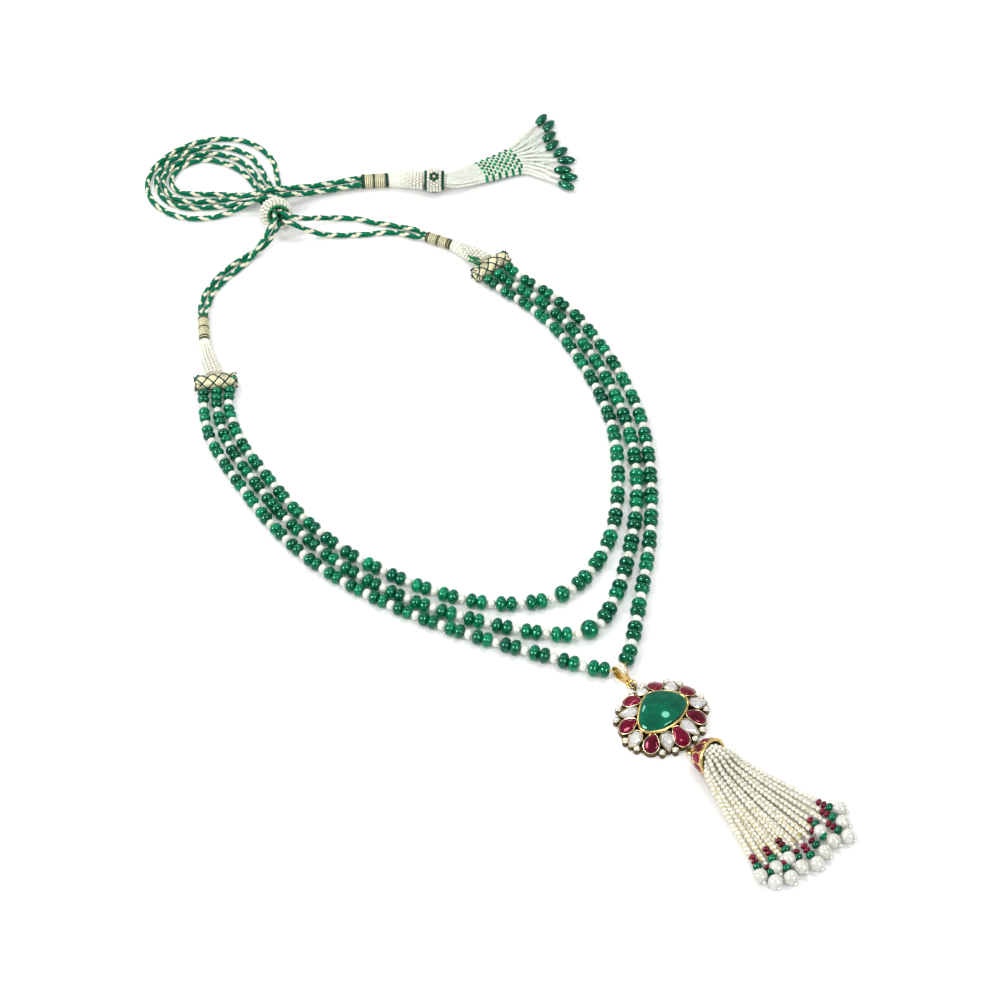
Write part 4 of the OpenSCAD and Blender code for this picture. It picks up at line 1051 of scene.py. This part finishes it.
def sleeve_core(rows, shrink):
    """Cloth inside a sleeve, a little smaller than the beads' skin."""
    u, v = np.meshgrid(np.linspace(0, 1, 14), turns(24), indexing="ij")
    return closed_rings(section_grid(rows, u, v, -shrink), 0.5, CLOTH)


class NECKLACE_OT_sleeves(bpy.types.Operator):
    """Netted seed beads between the bars and their wraps, and at the cord end"""

    bl_idname = "necklace.sleeves"
    bl_label = "Sleeves"

    def execute(self, context):
        finishes = seed_finishes(context)
        # Name, node, sections, lines of beads, beads in a line, whether they are staggered, length and width of a bead
        sleeves = [("bead_sleeve_left", "sleeve_left", mirrored(SLEEVE_ROWS[0]), 15, 13, False, 1.15, 1.25),
                   ("bead_sleeve_right", "sleeve_right", SLEEVE_ROWS[1], 12, 14, True, 1.15, 1.25),
                   ("end_bead_sleeve", "end_sleeve", END_SLEEVE_ROWS, 14, 17, True, 1.1956, 1.22)]
        for k, (name, node, rows, lines, around, stagger, long, wide) in enumerate(sleeves):
            rng = np.random.default_rng(SEED + 60 + k)
            at, ahead = net(rows, lines, around, stagger)
            surfaces = [beads(TINY_BEAD, at, ahead, long, wide, rng, WHITE, 0.06), sleeve_core(rows, 0.55)]
            if name == "bead_sleeve_right":
                for line in map(np.array, GREEN_TUFT):
                    loose = at_length(line, np.arange(0.1, running(line)[-1], 0.85))
                    surfaces.append(beads(TINY_BEAD, loose, direction(line)[0], 0.85, 1.0, rng, GREEN, 0.1))
            make_piece(name, surfaces, finishes, [node])
        return {"FINISHED"}


class NECKLACE_OT_ball(bpy.types.Operator):
    """Sliding ball of netted white seed beads with green ones round its mouths"""

    bl_idname = "necklace.ball"
    bl_label = "Sliding ball"

    def execute(self, context):
        rng = np.random.default_rng(SEED + 70)
        # Lines of beads, room for each bead, radii of the bore, of its mouths' beads and of all beads' middles
        lines, pitch, bore, mouth, skin = 10, 1.28, 2.95, 3.55, BALL_RADIUS - 0.55
        open_angle = math.asin(mouth / skin)
        places, kinds, ahead = [], [], []
        for k, a in enumerate(np.linspace(open_angle, math.pi - open_angle, lines)):
            around = int(2 * math.pi * skin * math.sin(a) / pitch)
            out = spokes((np.arange(around) + 0.5 * (k % 2)) * 2 * np.pi / around, BALL_SIDE, BALL_UP)
            places.append(BALL_MIDDLE + skin * (math.cos(a) * BALL_ALONG + math.sin(a) * out))
            ahead.append(-math.sin(a) * BALL_ALONG + math.cos(a) * out)
            kind = np.full(around, WHITE)
            if k in (0, lines - 1):
                kind[:] = GREEN
            elif k in (lines - 4, lines - 3):
                kind[np.arange(around) % 7 < 2] = DARK
            kinds.append(kind)
        places, ahead, kinds = np.concatenate(places), np.concatenate(ahead), np.concatenate(kinds)
        surfaces = [beads(TINY_BEAD, places[kinds == k], ahead[kinds == k], 1.12, 1.2, rng, k, 0.06)
                    for k in (WHITE, GREEN, DARK)]
        # The body inside the beads is a sphere with its bore, closed round the bore
        a = np.linspace(open_angle + 0.08, math.pi - open_angle - 0.08, 14)
        outer = (BALL_RADIUS - 0.85) * np.stack([np.cos(a), np.sin(a)], 1)
        wall = np.stack([np.linspace(outer[-1, 0], outer[0, 0], 5)[1:-1], np.full(3, bore)], 1)
        surfaces.append(turned_ring(np.concatenate([outer, wall]), BALL_MIDDLE, BALL_ALONG, 32, 0.2, CLOTH))
        make_piece("beaded_ball", surfaces, seed_finishes(context), ["slide_ball"])
        return {"FINISHED"}


def barrel_kind(line, column, lines, around):
    """Finish number of a barrel bead: dark rims, and flowers of six dark beads round a white one, spaced round it."""
    if line in (0, lines - 1):
        return DARK
    flowers, line_apart, inside, outside = 3, 0.86, 0.6, 1.25
    across = (column + 0.5 * (line % 2)) % (around / flowers) - around / flowers / 2
    far = math.hypot(across, line_apart * (line - (lines - 1) / 2))
    return DARK if inside < far < outside else WHITE


# Body inside the barrel's beads: distance from its start, and radius
BARREL_CORE = [(0.1, 2.4), (0.2, 2.7), (1, 3.1), (2.2, 3.4), (4.9, 3.4), (6.1, 3.1), (6.8, 2.8), (6.9, 2.45),
               (5.2, 2.4)]


class NECKLACE_OT_barrel(bpy.types.Operator):
    """Barrel of seed beads at the cord end, with dark green rims and flowers"""

    bl_idname = "necklace.barrel"
    bl_label = "End barrel"

    def execute(self, context):
        rng = np.random.default_rng(SEED + 80)
        # Lines of beads along the barrel, and beads round it
        lines, around = 7, 21
        _, side, up = axes(END_ALONG)
        line, column = (x.ravel() for x in np.meshgrid(np.arange(lines), np.arange(around), indexing="ij"))
        out = spokes((column + 0.5 * (line % 2)) * 2 * np.pi / around + 0.95, side, up)
        bulge = BARREL_RADIUS - 0.42 - 0.95 * np.abs((line - 3) / 3)**2.2
        at = BARREL_FROM + ((line + 0.5) / lines * BARREL_LENGTH)[:, None] * END_ALONG + bulge[:, None] * out
        kinds = np.array([barrel_kind(a, b, lines, around) for a, b in zip(line, column)])
        surfaces = [beads(TINY_BEAD, at[kinds == k], END_ALONG, 1.05, 1.25, rng, k, 0.05) for k in (WHITE, DARK)]
        surfaces.append(turned(BARREL_CORE, BARREL_FROM, END_ALONG, 24, 0.3, CLOTH))
        make_piece("beaded_barrel", surfaces, seed_finishes(context), ["end_barrel"])
        return {"FINISHED"}


def beaded_tube(path, radius, pitch, finish, tone):
    """String of touching beads as one tube: radius (1 - waist + waist |sin|) of the distance over the pitch."""
    length = running(path)[-1]
    waist, sides = 0.34, 6
    at = np.linspace(0, length, max(4, int(length / pitch) * 3 + 1))
    r = radius * (1 - waist + waist * np.abs(np.sin(np.pi * at / pitch)))
    return tube(at_length(path, at), r, sides, tone, finish)


class NECKLACE_OT_end_strings(bpy.types.Operator):
    """Doubled strings of clear white beads from the barrel to the drops, with green beads on them"""

    bl_idname = "necklace.end_strings"
    bl_label = "End strings"

    def execute(self, context):
        rng = np.random.default_rng(SEED + 90)
        glass = shared_finish("Clear white beads", pearl_finish, context.scene.necklace_cords.glass, through=0.25,
                              roughness=0.12)
        # Radius of a string, room for one of its beads, and how many green beads it has
        radius, bead, green_beads = 0.78, 1.25, 6
        _, side, up = axes(END_ALONG)
        surfaces, green = [], []
        strings = 2 * len(DROP_ROWS)
        for k in range(strings):
            x, y, heading = DROP_ROWS[k // 2]
            tip = np.array([x, y, DROP_WIDTH / 2]) - (DROP_LENGTH / 2 - 0.1) * toward(heading)
            # Share across the fan, and share up from its middle
            f = 0.93 - 1.86 * k / (strings - 1)
            g = 0.55 * (-1)**k * math.sqrt(1 - f * f)
            fan = FAN_ORIGIN + FAN_ROWS[:, :1] * toward(FAN_ROWS[:, 1] + f * FAN_ROWS[:, 2])
            fan[:, 2] = np.maximum(FAN_ROWS[:, 3] + g * FAN_ROWS[:, 4] / 2, radius + 0.04)
            starts = [BARREL_FROM + (BARREL_LENGTH + past) * END_ALONG + 2.0 * (f * side + g * up)
                      for past in (-1.7, 0.5)]
            points = np.concatenate([starts, fan[:5], [(fan[4] + 2 * tip) / 3 + [0, 0, 0.1], tip]])
            path = smooth(with_ends(points), 8)
            odd = k // 2 % 2
            surfaces.append(beaded_tube(path, radius, bead, 0, 0.4 + 0.4 * odd))
            # The green beads start at the fan's third section and stand in a chequer
            begin = float(running(path)[np.argmin(np.linalg.norm(path - fan[2], axis=1))])
            at = begin + 0.6 + np.arange(green_beads) * 2 * bead + bead * odd
            green.append(on_route(path, at))
        surfaces.append(beads(TINY_BEAD, *np.concatenate(green, 1), 1.6, 2.1, rng, 1, 0.08))
        make_piece("clear_bead_strings", surfaces, [glass, seed_finishes(context)[GREEN]],
                   ["end_strings"])
        return {"FINISHED"}


class NECKLACE_OT_drops(bpy.types.Operator):
    """Nine long emerald drops at the cord end, each held by a tiny white bead"""

    bl_idname = "necklace.drops"
    bl_label = "Emerald drops"

    def execute(self, context):
        s = context.scene.necklace_beads
        colours = [np.array(tint) * share for tint, share in
                   ((s.emerald_dark, 0.6), (s.emerald_mid, 0.38), (s.emerald_light, 0.34))]
        green = shared_finish("Emerald drops", stone_finish, *colours, 3.0, 0.1, tone_share=0.3, roughness=0.08,
                              gloss=1.0, shine=GREEN_SHINE)
        finishes = [green, seed_finishes(context)[WHITE]]
        shape = bead_shape(13, 24, 1.0, 1.15)
        for i, (x, y, heading) in enumerate(DROP_ROWS):
            rng = np.random.default_rng(SEED + 100 + i)
            along, middle = toward(heading), np.array([x, y, DROP_WIDTH / 2])
            surfaces = [beads(shape, [middle], along, DROP_LENGTH * 1.03, DROP_WIDTH * 0.91, rng, 0, 0.0),
                        beads(TINY_BEAD, [middle + (DROP_LENGTH / 2 + 0.45) * along], along, 1.3, 1.4, rng, 1)]
            make_piece("emerald_drop_%d" % (i + 1), surfaces, finishes, ["end_drop_%d" % (i + 1)])
        return {"FINISHED"}


# Pendant


def flat_point(reach, degrees):
    """Point x, y at a reach and an angle in degrees from X."""
    a = np.radians(degrees)
    return np.stack([reach * np.cos(a), reach * np.sin(a)], -1)


def reach_of_stone(degrees):
    """Reach of the centre stone's edge at angles in the pendant's frame, on a smooth curve through the measured
    ones."""
    n = len(STONE_REACHES)
    number = np.arange(-1, n + 2)
    ring = smooth(flat_point(np.array(STONE_REACHES)[number % n], 90 + 360 * number / n), 10)
    around = np.linspace(90, 450, len(ring))
    return np.interp((np.asarray(degrees, float) - 90) % 360 + 90, around, np.hypot(*ring.T))


def reach_of_ellipse(half_x, half_y, degrees):
    """Distance from the middle to an ellipse's edge at an angle."""
    a = np.radians(degrees)
    return half_x * half_y / np.hypot(half_y * np.cos(a), half_x * np.sin(a))


def in_pendant(points):
    """Points of the pendant's own frame placed in the necklace's."""
    a = math.radians(PENDANT_TURN)
    turn = np.array([[math.cos(a), math.sin(a), 0], [-math.sin(a), math.cos(a), 0], [0, 0, 1]])
    return np.asarray(points, float) @ turn + PENDANT


def stone_outline(margin):
    """Outline of the centre stone in the pendant's frame, grown by a margin."""
    degrees = np.arange(96) * 360 / 96
    return flat_point(reach_of_stone(degrees) + margin, degrees)


def petal_outline(k, margin):
    """Outline round two circles, one at each end of petal k, in the pendant's frame, the petal's axis there, and
    the distances along it at which the petal starts and ends."""
    steps = 9
    start = STONE_REACHES[2 * k] + 1.35
    end = PETAL_ENDS[k] - 0.35
    most = (end - start) * 0.44
    r0, r1 = (min(1.3, most * 0.6), min(2.45, most)) if k % 2 else (min(2.1, most), 0.5)
    apart = end - start - r0 - r1
    open_angle = math.acos((r0 - r1) / apart)
    first = open_angle + np.arange(steps + 1) * (2 * math.pi - 2 * open_angle) / steps
    last = -open_angle + np.arange(steps + 1) * 2 * open_angle / steps
    x = np.concatenate([start + r0 + (r0 + margin) * np.cos(first), start + r0 + apart + (r1 + margin) * np.cos(last)])
    y = np.concatenate([(r0 + margin) * np.sin(first), (r1 + margin) * np.sin(last)])
    axis = flat_point(1, 90 + 360 * k / PETALS)
    across = np.array([-axis[1], axis[0]])
    return x[:, None] * axis + y[:, None] * across, axis, start, end


def collet_top(points, axis, start, end):
    """Height of a petal's collet, which falls evenly from the bezel to the petal's end."""
    share = ((points @ axis - start) / (end - start)).clip(-0.1, 1.1)
    return PETAL_HIGH + (PETAL_LOW - PETAL_HIGH) * share


# Crown of a ruby and of an uncut diamond: for the wall's foot, its top and each ring up to the table, the share of the
# outline and the height above the collet's top. The foot stands on the base plate.
RUBY_CROWN = np.array([(1, 0), (1, -0.05), (0.95, 0.32), (0.85, 0.62), (0.7, 0.86), (0.5, 1.02), (0.27, 1.1)])
DIAMOND_CROWN = np.array([(1, 0), (1, -0.1), (0.78, 0.45), (0.42, 0.72)])
STONE_FOOT = 0.95
# Points of the outline at which a diamond has its corners
DIAMOND_CORNERS = [0, 2, 4, 6, 8, 11, 13, 15, 17, 18]
# The lightest rubies, beside the bail
BRIGHT_PETALS = (1, 13)
# Gold band round the bezel, from between the petals up over its lip: margin outside the stone, and height
BEZEL_BAND = [(0.95, 2.0), (0.97, 4.4), (1.02, 5.2), (0.9, 5.62), (0.62, 5.8), (0.3, 5.72), (0.06, 5.5), (0.3, 5.3),
              (0.5, 4.6), (0.5, 2.2)]


def petal_stone(k, rng):
    """Domed ruby or faceted diamond of petal k: rings of its outline drawn in toward the middle and raised."""
    outline, axis, start, end = petal_outline(k, 0.14)
    centre = outline.mean(0)
    crown = RUBY_CROWN if k % 2 else DIAMOND_CROWN
    if k % 2 == 0:
        outline = outline[DIAMOND_CORNERS]
    flat = centre + crown[:, 0, None, None] * (outline - centre)
    z = collet_top(flat, axis, start, end) + crown[:, 1, None]
    z[0] = STONE_FOOT
    if k % 2 == 0:
        flat[2:] += rng.uniform(-0.22, 0.22, flat[2:].shape)
        z[2:] += rng.uniform(-0.14, 0.14, z[2:].shape)
    tone = 0.95 if k in BRIGHT_PETALS else rng.uniform(0.3, 0.8)
    return closed_rings(in_pendant(np.concatenate([flat, z[..., None]], -1)), tone, 0)


class NECKLACE_OT_petals(bpy.types.Operator):
    """Seven ruby and seven uncut diamond petals with their thin rims"""

    bl_idname = "necklace.petals"
    bl_label = "Petals"

    def execute(self, context):
        s = context.scene.necklace_pendant
        ruby = ruby_finish(context)
        diamond = shared_finish("Uncut diamond", stone_finish, *shaded(s.diamond, 0.6, 1), (0.85, 0.86, 0.86), 1.5,
                                0.25, tone_share=0.3, roughness=0.05, ior=1.9, gloss=0.5)
        kinds = (("diamond", diamond, "uncut_diamond"), ("ruby", ruby, "ruby"))
        rims = [pale_gold_finish(context), shared_finish("Grey gold", metal_finish, s.grey_gold, roughness=0.3),
                gold_finish(context)]
        surfaces = []
        for k in range(PETALS):
            rng = np.random.default_rng(SEED + 120 + k)
            kind, finish, slot = kinds[k % 2]
            number = "%d" % (k // 2 + 1)
            make_piece(kind + "_" + number, [petal_stone(k, rng)], [finish], [kind + "_petal_" + number],
                       flat_shaded=kind == "diamond")
            edge, axis, start, end = petal_outline(k, 0.26)
            lifted = np.column_stack([edge, collet_top(edge, axis, start, end) + 0.06])
            surfaces.append(hoop(in_pendant(lifted), 0.16, 0.5, 0 if kind == "ruby" else 1))
        grid = np.stack([np.pad(stone_outline(margin), ((0, 0), (0, 1)), constant_values=z)
                         for margin, z in BEZEL_BAND], 1)
        faces = loop_faces(*grid.shape[:2])[:, [0, 3, 2, 1]]
        surfaces.append(surface(in_pendant(grid), [faces], 0.5, 2))
        make_piece("stone_rims", surfaces, rims)
        return {"FINISHED"}


# Share of its outline at each ring of the centre stone: two for its wall inside the bezel, then its crown
CENTRE_CROWN = np.array([1, 1, 1, 0.985, 0.95, 0.9, 0.82, 0.72, 0.6, 0.46, 0.3, 0.14])
CENTRE_TOP = 8
# Radius of the ball that the crown is cut from
CENTRE_BALL = 20


class NECKLACE_OT_centre_stone(bpy.types.Operator):
    """Smooth domed emerald in the middle of the pendant"""

    bl_idname = "necklace.centre_stone"
    bl_label = "Centre stone"

    def execute(self, context):
        deep = np.array(context.scene.necklace_beads.emerald_mid)
        finish = stone_finish("Centre emerald", deep * 0.36, deep * 0.6, deep * [1, 1.05, 1.2], 7.5, 0.1,
                              tone_share=0.0, roughness=0.06, spread=0.4, gloss=0.5, shine=(0.35, 1, 0.72))
        # The crown comes a little over the bezel's lip and is rounded off at its rim
        flat = CENTRE_CROWN[:, None, None] * stone_outline(0.34)
        flat[:2] = stone_outline(-0.02)
        r = np.linalg.norm(flat, axis=-1)
        z = CENTRE_TOP - (CENTRE_BALL - np.sqrt(CENTRE_BALL**2 - r**2)) - 0.6 * CENTRE_CROWN[:, None]**24
        z[0], z[1] = 1.45, 5.5
        grid = in_pendant(np.concatenate([flat, z[..., None]], -1))
        make_piece("centre_emerald", [closed_rings(grid, 0.5, 0)], [finish], ["centre_stone"])
        return {"FINISHED"}


# A rim stone's crown: radius and height of each ring
RIM_STONE = np.array([(0.74, 1.5), (0.74, 2.2), (0.66, 2.5), (0.48, 2.72), (0.25, 2.84)])


class NECKLACE_OT_rim_stones(bpy.types.Operator):
    """Small round white stones between the petals' tips, each in a thin metal cup"""

    bl_idname = "necklace.rim_stones"
    bl_label = "Rim stones"

    def execute(self, context):
        angle = (90 + 360 / PETALS * np.arange(0, PETALS, 2)[:, None] + np.array([-9, 9])).ravel()
        at = np.pad(flat_point(reach_of_ellipse(*RIM_HALF, angle), angle), ((0, 0), (0, 1)))
        ring = spokes(turns(12), np.array([1.0, 0, 0]), np.array([0, 1.0, 0]))
        up = np.array([0, 0, 1.0])
        radius, height = RIM_STONE.T[..., None, None]
        stones = [closed_rings(in_pendant(p + radius * ring + height * up), 0.6, 0) for p in at]
        cups = [hoop(in_pendant(p + 0.92 * ring + 2.2 * up), 0.2, 0.5, 1) for p in at]
        finishes = [shared_finish("Small white stones", pearl_finish, context.scene.necklace_pendant.diamond,
                                  roughness=0.1),
                    shared_finish("Silvery rims", metal_finish, (0.62, 0.57, 0.42))]
        make_piece("small_rim_stones", stones + cups, finishes, ["rim_stones"])
        return {"FINISHED"}


class NECKLACE_OT_gold(bpy.types.Operator):
    """Dark finish for the setting, gold for the bail, cap and rings, and the small stones along the bail"""

    bl_idname = "necklace.gold"
    bl_label = "Gold parts"

    def execute(self, context):
        dark = context.scene.necklace_pendant.dark_metal
        gold = gold_finish(context)
        # The setting gets a dark finish, which shows between the petals
        black = shared_finish("Dark setting metal", metal_finish, dark, roughness=0.42)
        for name in ("pendant_setting", "bail", "jump_ring", "link_ring", "tassel_cap"):
            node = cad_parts[name]
            node.data.materials.clear()
            node.data.materials.append(black if name == "pendant_setting" else gold)
        # Two rows of small stones over the top and front of the bail
        across, back = toward(BAIL_TURN), toward(BAIL_TURN + 90)
        stones_in_row, reach = 9, 2.55
        out = spokes(np.radians(np.linspace(150, -10, stones_in_row)), back, np.array([0, 0, 1.0]))
        over = BAIL_MIDDLE + reach * out
        # Half the distance between the rows; they come closer toward the front
        apart = np.where((over - BAIL_MIDDLE) @ back > -0.5, 1.05, 0.75) * 0.625
        places = over[:, None] + (apart[:, None] * [-1, 1])[..., None] * across
        rng = np.random.default_rng(SEED + 150)
        stones = beads(bead_shape(4, 8, 0.9, 0.6), places, np.repeat(out, 2, 0), 0.6, 1.15, rng, 0)
        grains = beads(TINY_BEAD, (over[:-1] + over[1:]) / 2, over[1:] - BAIL_MIDDLE, 0.5, 0.45, rng, 1)
        finishes = [shared_finish("Bail stones", pearl_finish, (0.84, 0.82, 0.72), roughness=0.08),
                    pale_gold_finish(context)]
        make_piece("bail_stones", [stones, grains], finishes)
        return {"FINISHED"}


def on_cap(back, around, lift, side, up):
    """Points of the cap's half oval, radius cos b out and depth sin b back, at angles round its axis."""
    return CAP_MIDDLE + ((CAP_RADIUS + lift) * np.cos(back))[..., None] * spokes(around, side, up) \
        - ((CAP_DEPTH + lift) * np.sin(back))[..., None] * CAP_ALONG


# Rows of ruby panels on the cap: angle back from the mouth at which each begins and ends, how many panels, and by what
# share of a panel the row is shifted
PANEL_ROWS = ((0.085, 0.68, 10, 0.0), (0.68, 1.32, 9, 0.5))
# Rim round the cap's mouth: distance along its axis, and radius
CAP_RIM = [(-0.5, 6.1), (-0.45, 6.23), (0.05, 6.23), (0.16, 6.0), (0.1, 5.4), (-0.12, 5.12), (-0.5, 5.3)]


class NECKLACE_OT_cap(bpy.types.Operator):
    """Ruby panels in gold lines over the tassel's cap, and its wide gold rim"""

    bl_idname = "necklace.cap"
    bl_label = "Tassel cap"

    def execute(self, context):
        s = context.scene.necklace_pendant
        rng = np.random.default_rng(SEED + 160)
        _, side, up = axes(CAP_ALONG)
        surfaces = []
        t = turns(16)
        share = np.array([1.0, 0.96, 0.8, 0.5, 0.2])[:, None]
        for low, high, count, shift in PANEL_ROWS:
            back = (low + high) / 2 + (high - low) / 2 * share * np.sin(t)
            # Each panel comes to a point toward the cap's back
            narrow = 1 - 0.14 * (0.5 + 0.5 * share * np.sin(t))**2
            wide = np.pi / count * 0.97 * share * np.sign(np.cos(t)) * np.abs(np.cos(t))**0.5
            lift = 0.02 + 0.26 * (1 - share**4)
            for k in range(count):
                grid = on_cap(back, (k + shift) * 2 * np.pi / count + wide * narrow, lift, side, up)
                surfaces.append(closed_rings(grid[:, ::-1], rng.uniform(0.2, 1), 0))
                surfaces.append(hoop(grid[0], 0.1, 0.5, 1))
        # Dark sheet just within the cap: painted shade in its hollow
        b = np.radians(np.linspace(2, 86, 12))
        walls = [np.stack([-(CAP_DEPTH - d) * np.sin(b), (CAP_RADIUS - d) * np.cos(b)], 1) for d in (0.84, 0.96)]
        surfaces.append(turned_ring(np.concatenate([walls[0], walls[1][::-1]]), CAP_MIDDLE, CAP_ALONG, 32, 0.5, 2))
        surfaces.append(turned_ring(CAP_RIM, CAP_MIDDLE, CAP_ALONG, 48, 0.5, 1))
        finishes = [shared_finish("Cap ruby", stone_finish, s.ruby_dark, *shaded(s.ruby_light, 0.75, 1.15), 2.2, 0.05,
                                  tone_share=0.8, gloss=0.7, shine=RED_SHINE),
                    # The third finish is the dark painted shade inside the cap
                    gold_finish(context), shared_finish("Cap hollow shade", thread_finish, (0.05, 0.042, 0.028))]
        make_piece("cap_inlay", surfaces, finishes)
        return {"FINISHED"}


# How much of the height between two strings side by side is left at each point of a string's path
PARTING = np.array([0.34, 0.34, 0.3, 0.22, 0.12, 0, 0])


def tassel_path(f, g, layer):
    """Points of a tassel string at share f across and g up: in the cap's mouth, then in each of the fan's sections,
    origin + distance toward heading + f half angle, at height z + g height / 2. Strings side by side start one above
    the other and come to one height along the fan."""
    _, side, up = axes(CAP_ALONG)
    top = up * np.sign(up[2])
    level = side * np.sign(side @ toward(TASSEL_HEADING + 90))
    parted = g + layer * PARTING
    starts = [CAP_MIDDLE + d * CAP_ALONG + r * (f * 0.9 * level + parted[0] * top) for d, r in ((-2.6, 3.4), (0, 4.1))]
    fan = TASSEL_ORIGIN + (TASSEL_BACK + TASSEL_ROWS[:, :1]) * toward(TASSEL_HEADING + f * TASSEL_HALF_ANGLE)
    fan[:, 2] = TASSEL_ROWS[:, 1] + parted[2:] * TASSEL_ROWS[:, 2] / 2
    return np.concatenate([starts, fan])


class NECKLACE_OT_tassel(bpy.types.Operator):
    """Strings of seed pearls with emerald and ruby beads before their large pearls"""

    bl_idname = "necklace.tassel"
    bl_label = "Pearl tassel"

    def execute(self, context):
        s = context.scene.necklace_pendant
        rng = np.random.default_rng(SEED + 170)
        seed, large = s.seed_pearl / MM, s.large_pearl / MM
        step = seed * 0.98
        bearings = np.degrees(np.arctan2(PEARL_ROWS[:, 1] - TASSEL_ORIGIN[1], PEARL_ROWS[:, 0] - TASSEL_ORIGIN[0]))
        order = np.argsort(-bearings)
        upper = len(order)
        lower = s.string_count - upper
        # Share across, share up, layer and number of its large pearl, for the upper strings, then the lower ones
        shares = [(0.95 - 1.9 * j / (upper - 1), 0.62, 1 - 2 * (j % 2), order[j]) for j in range(upper)]
        shares += [(0.97 - 1.94 * j / (lower - 1), 0.0 if j % 2 else 0.3, 0, None) for j in range(lower)]
        pearls, greens, reds, threads = [], [], [], []
        for f, g, layer, pearl in shares:
            oval = math.sqrt(max(0.0, 1 - f * f))
            points = tassel_path(f, g * oval, layer * oval)
            if pearl is not None:
                target = np.array([*PEARL_ROWS[pearl], large / 2])
                level = unit((target - points[-1]) * [1, 1, 0])
                points = np.concatenate([points, [target - (large / 2 + 0.1) * level]])
            path = smooth(with_ends(points), 10)
            end = running(path)[-1]
            threads.append(tube(path[::4], 0.36 if layer else 0.66, 6, 0.5, 3))
            if pearl is None:
                end -= rng.uniform(0, 2.5)
            else:
                # A green bead and one or two red ones before the large pearl
                beads_before = ((2.3, greens), (1.7, reds), (1.7, reds))
                for size, row in beads_before[:3 if layer > 0 or pearl in (0, 1) else 2]:
                    at = end - size * 0.5
                    row.append((at_length(path, at), at_length(path, at) - at_length(path, at - 0.4)))
                    end -= size
            count = int((end - 1.2) / step)
            at = end - seed * 0.5 - np.arange(count) * step
            centres, ahead = on_route(path, at)
            pearls.append((centres + rng.normal(0, 0.05, (count, 3)), ahead))
        finishes = [shared_finish("Seed pearls", pearl_finish, (0.75, 0.74, 0.64), roughness=0.12, variety=0.4),
                    emerald_finish(context), ruby_finish(context),
                    shared_finish("Yellow thread", thread_finish, (0.66, 0.55, 0.28))]
        surfaces = [beads(SEED_PEARL, *np.concatenate(pearls, 1), seed * 0.97, seed, rng, 0, 0.06)]
        surfaces += [beads(RONDELLE, *np.stack(row, 1), long, wide, rng, finish)
                     for row, long, wide, finish in ((greens, 2.2, 3.1, 1), (reds, 1.6, 2.5, 2))]
        make_piece("seed_pearl_strings", surfaces + threads, finishes, ["tassel_strings"])
        at = np.column_stack([PEARL_ROWS, np.full(len(PEARL_ROWS), large / 2)])
        outward = unit(at * [1, 1, 0] - TASSEL_ORIGIN)
        big = beads(bead_shape(13, 28, 0.97, 0.97), at, outward, large * 0.97, large * 0.98, rng, 0, 0.02)
        tiny = beads(PEARL, at + (large / 2 + 0.45) * outward, outward, 1.3, 1.4, rng, 0)
        lustre = shared_finish("Large pearls", pearl_finish, (0.65, 0.645, 0.59), roughness=0.1, variety=0.15)
        make_piece("large_pearls", [big, tiny], [lustre], ["tassel_pearls"])
        return {"FINISHED"}


STEPS = (NECKLACE_OT_stage, NECKLACE_OT_cords, NECKLACE_OT_strands, NECKLACE_OT_centre_beads, NECKLACE_OT_bars,
         NECKLACE_OT_wraps, NECKLACE_OT_sleeves, NECKLACE_OT_ball, NECKLACE_OT_barrel, NECKLACE_OT_end_strings,
         NECKLACE_OT_drops, NECKLACE_OT_petals, NECKLACE_OT_centre_stone, NECKLACE_OT_rim_stones, NECKLACE_OT_gold,
         NECKLACE_OT_cap, NECKLACE_OT_tassel, NECKLACE_OT_declare_cords)
SETTINGS = {"necklace_stage": StageSettings, "necklace_beads": BeadSettings, "necklace_cords": CordSettings,
            "necklace_pendant": PendantSettings}


class NECKLACE_PT_panel(bpy.types.Panel):
    """Lists the steps that build the necklace and their settings"""

    bl_idname = "NECKLACE_PT_panel"
    bl_label = "Necklace"
    bl_space_type = "VIEW_3D"
    bl_region_type = "UI"
    bl_category = "Necklace"

    def draw(self, context):
        for name in SETTINGS:
            box = self.layout.box()
            group = getattr(context.scene, name)
            for key in SETTINGS[name].__annotations__:
                box.prop(group, key)
        for step in STEPS:
            self.layout.operator(step.bl_idname)


def register():
    """Registers the settings, the operators and the panel."""
    for name, group in SETTINGS.items():
        bpy.utils.register_class(group)
        setattr(bpy.types.Scene, name, PointerProperty(type=group))
    for step in STEPS:
        bpy.utils.register_class(step)
    bpy.utils.register_class(NECKLACE_PT_panel)


def unregister():
    """Takes back everything that register did."""
    bpy.utils.unregister_class(NECKLACE_PT_panel)
    for step in reversed(STEPS):
        bpy.utils.unregister_class(step)
    for name, group in reversed(SETTINGS.items()):
        delattr(bpy.types.Scene, name)
        bpy.utils.unregister_class(group)


def main():
    """Builds the necklace step by step."""
    register()
    for step in STEPS:
        group, action = step.bl_idname.split(".")
        getattr(getattr(bpy.ops, group), action)()


if __name__ == "__main__":
    main()
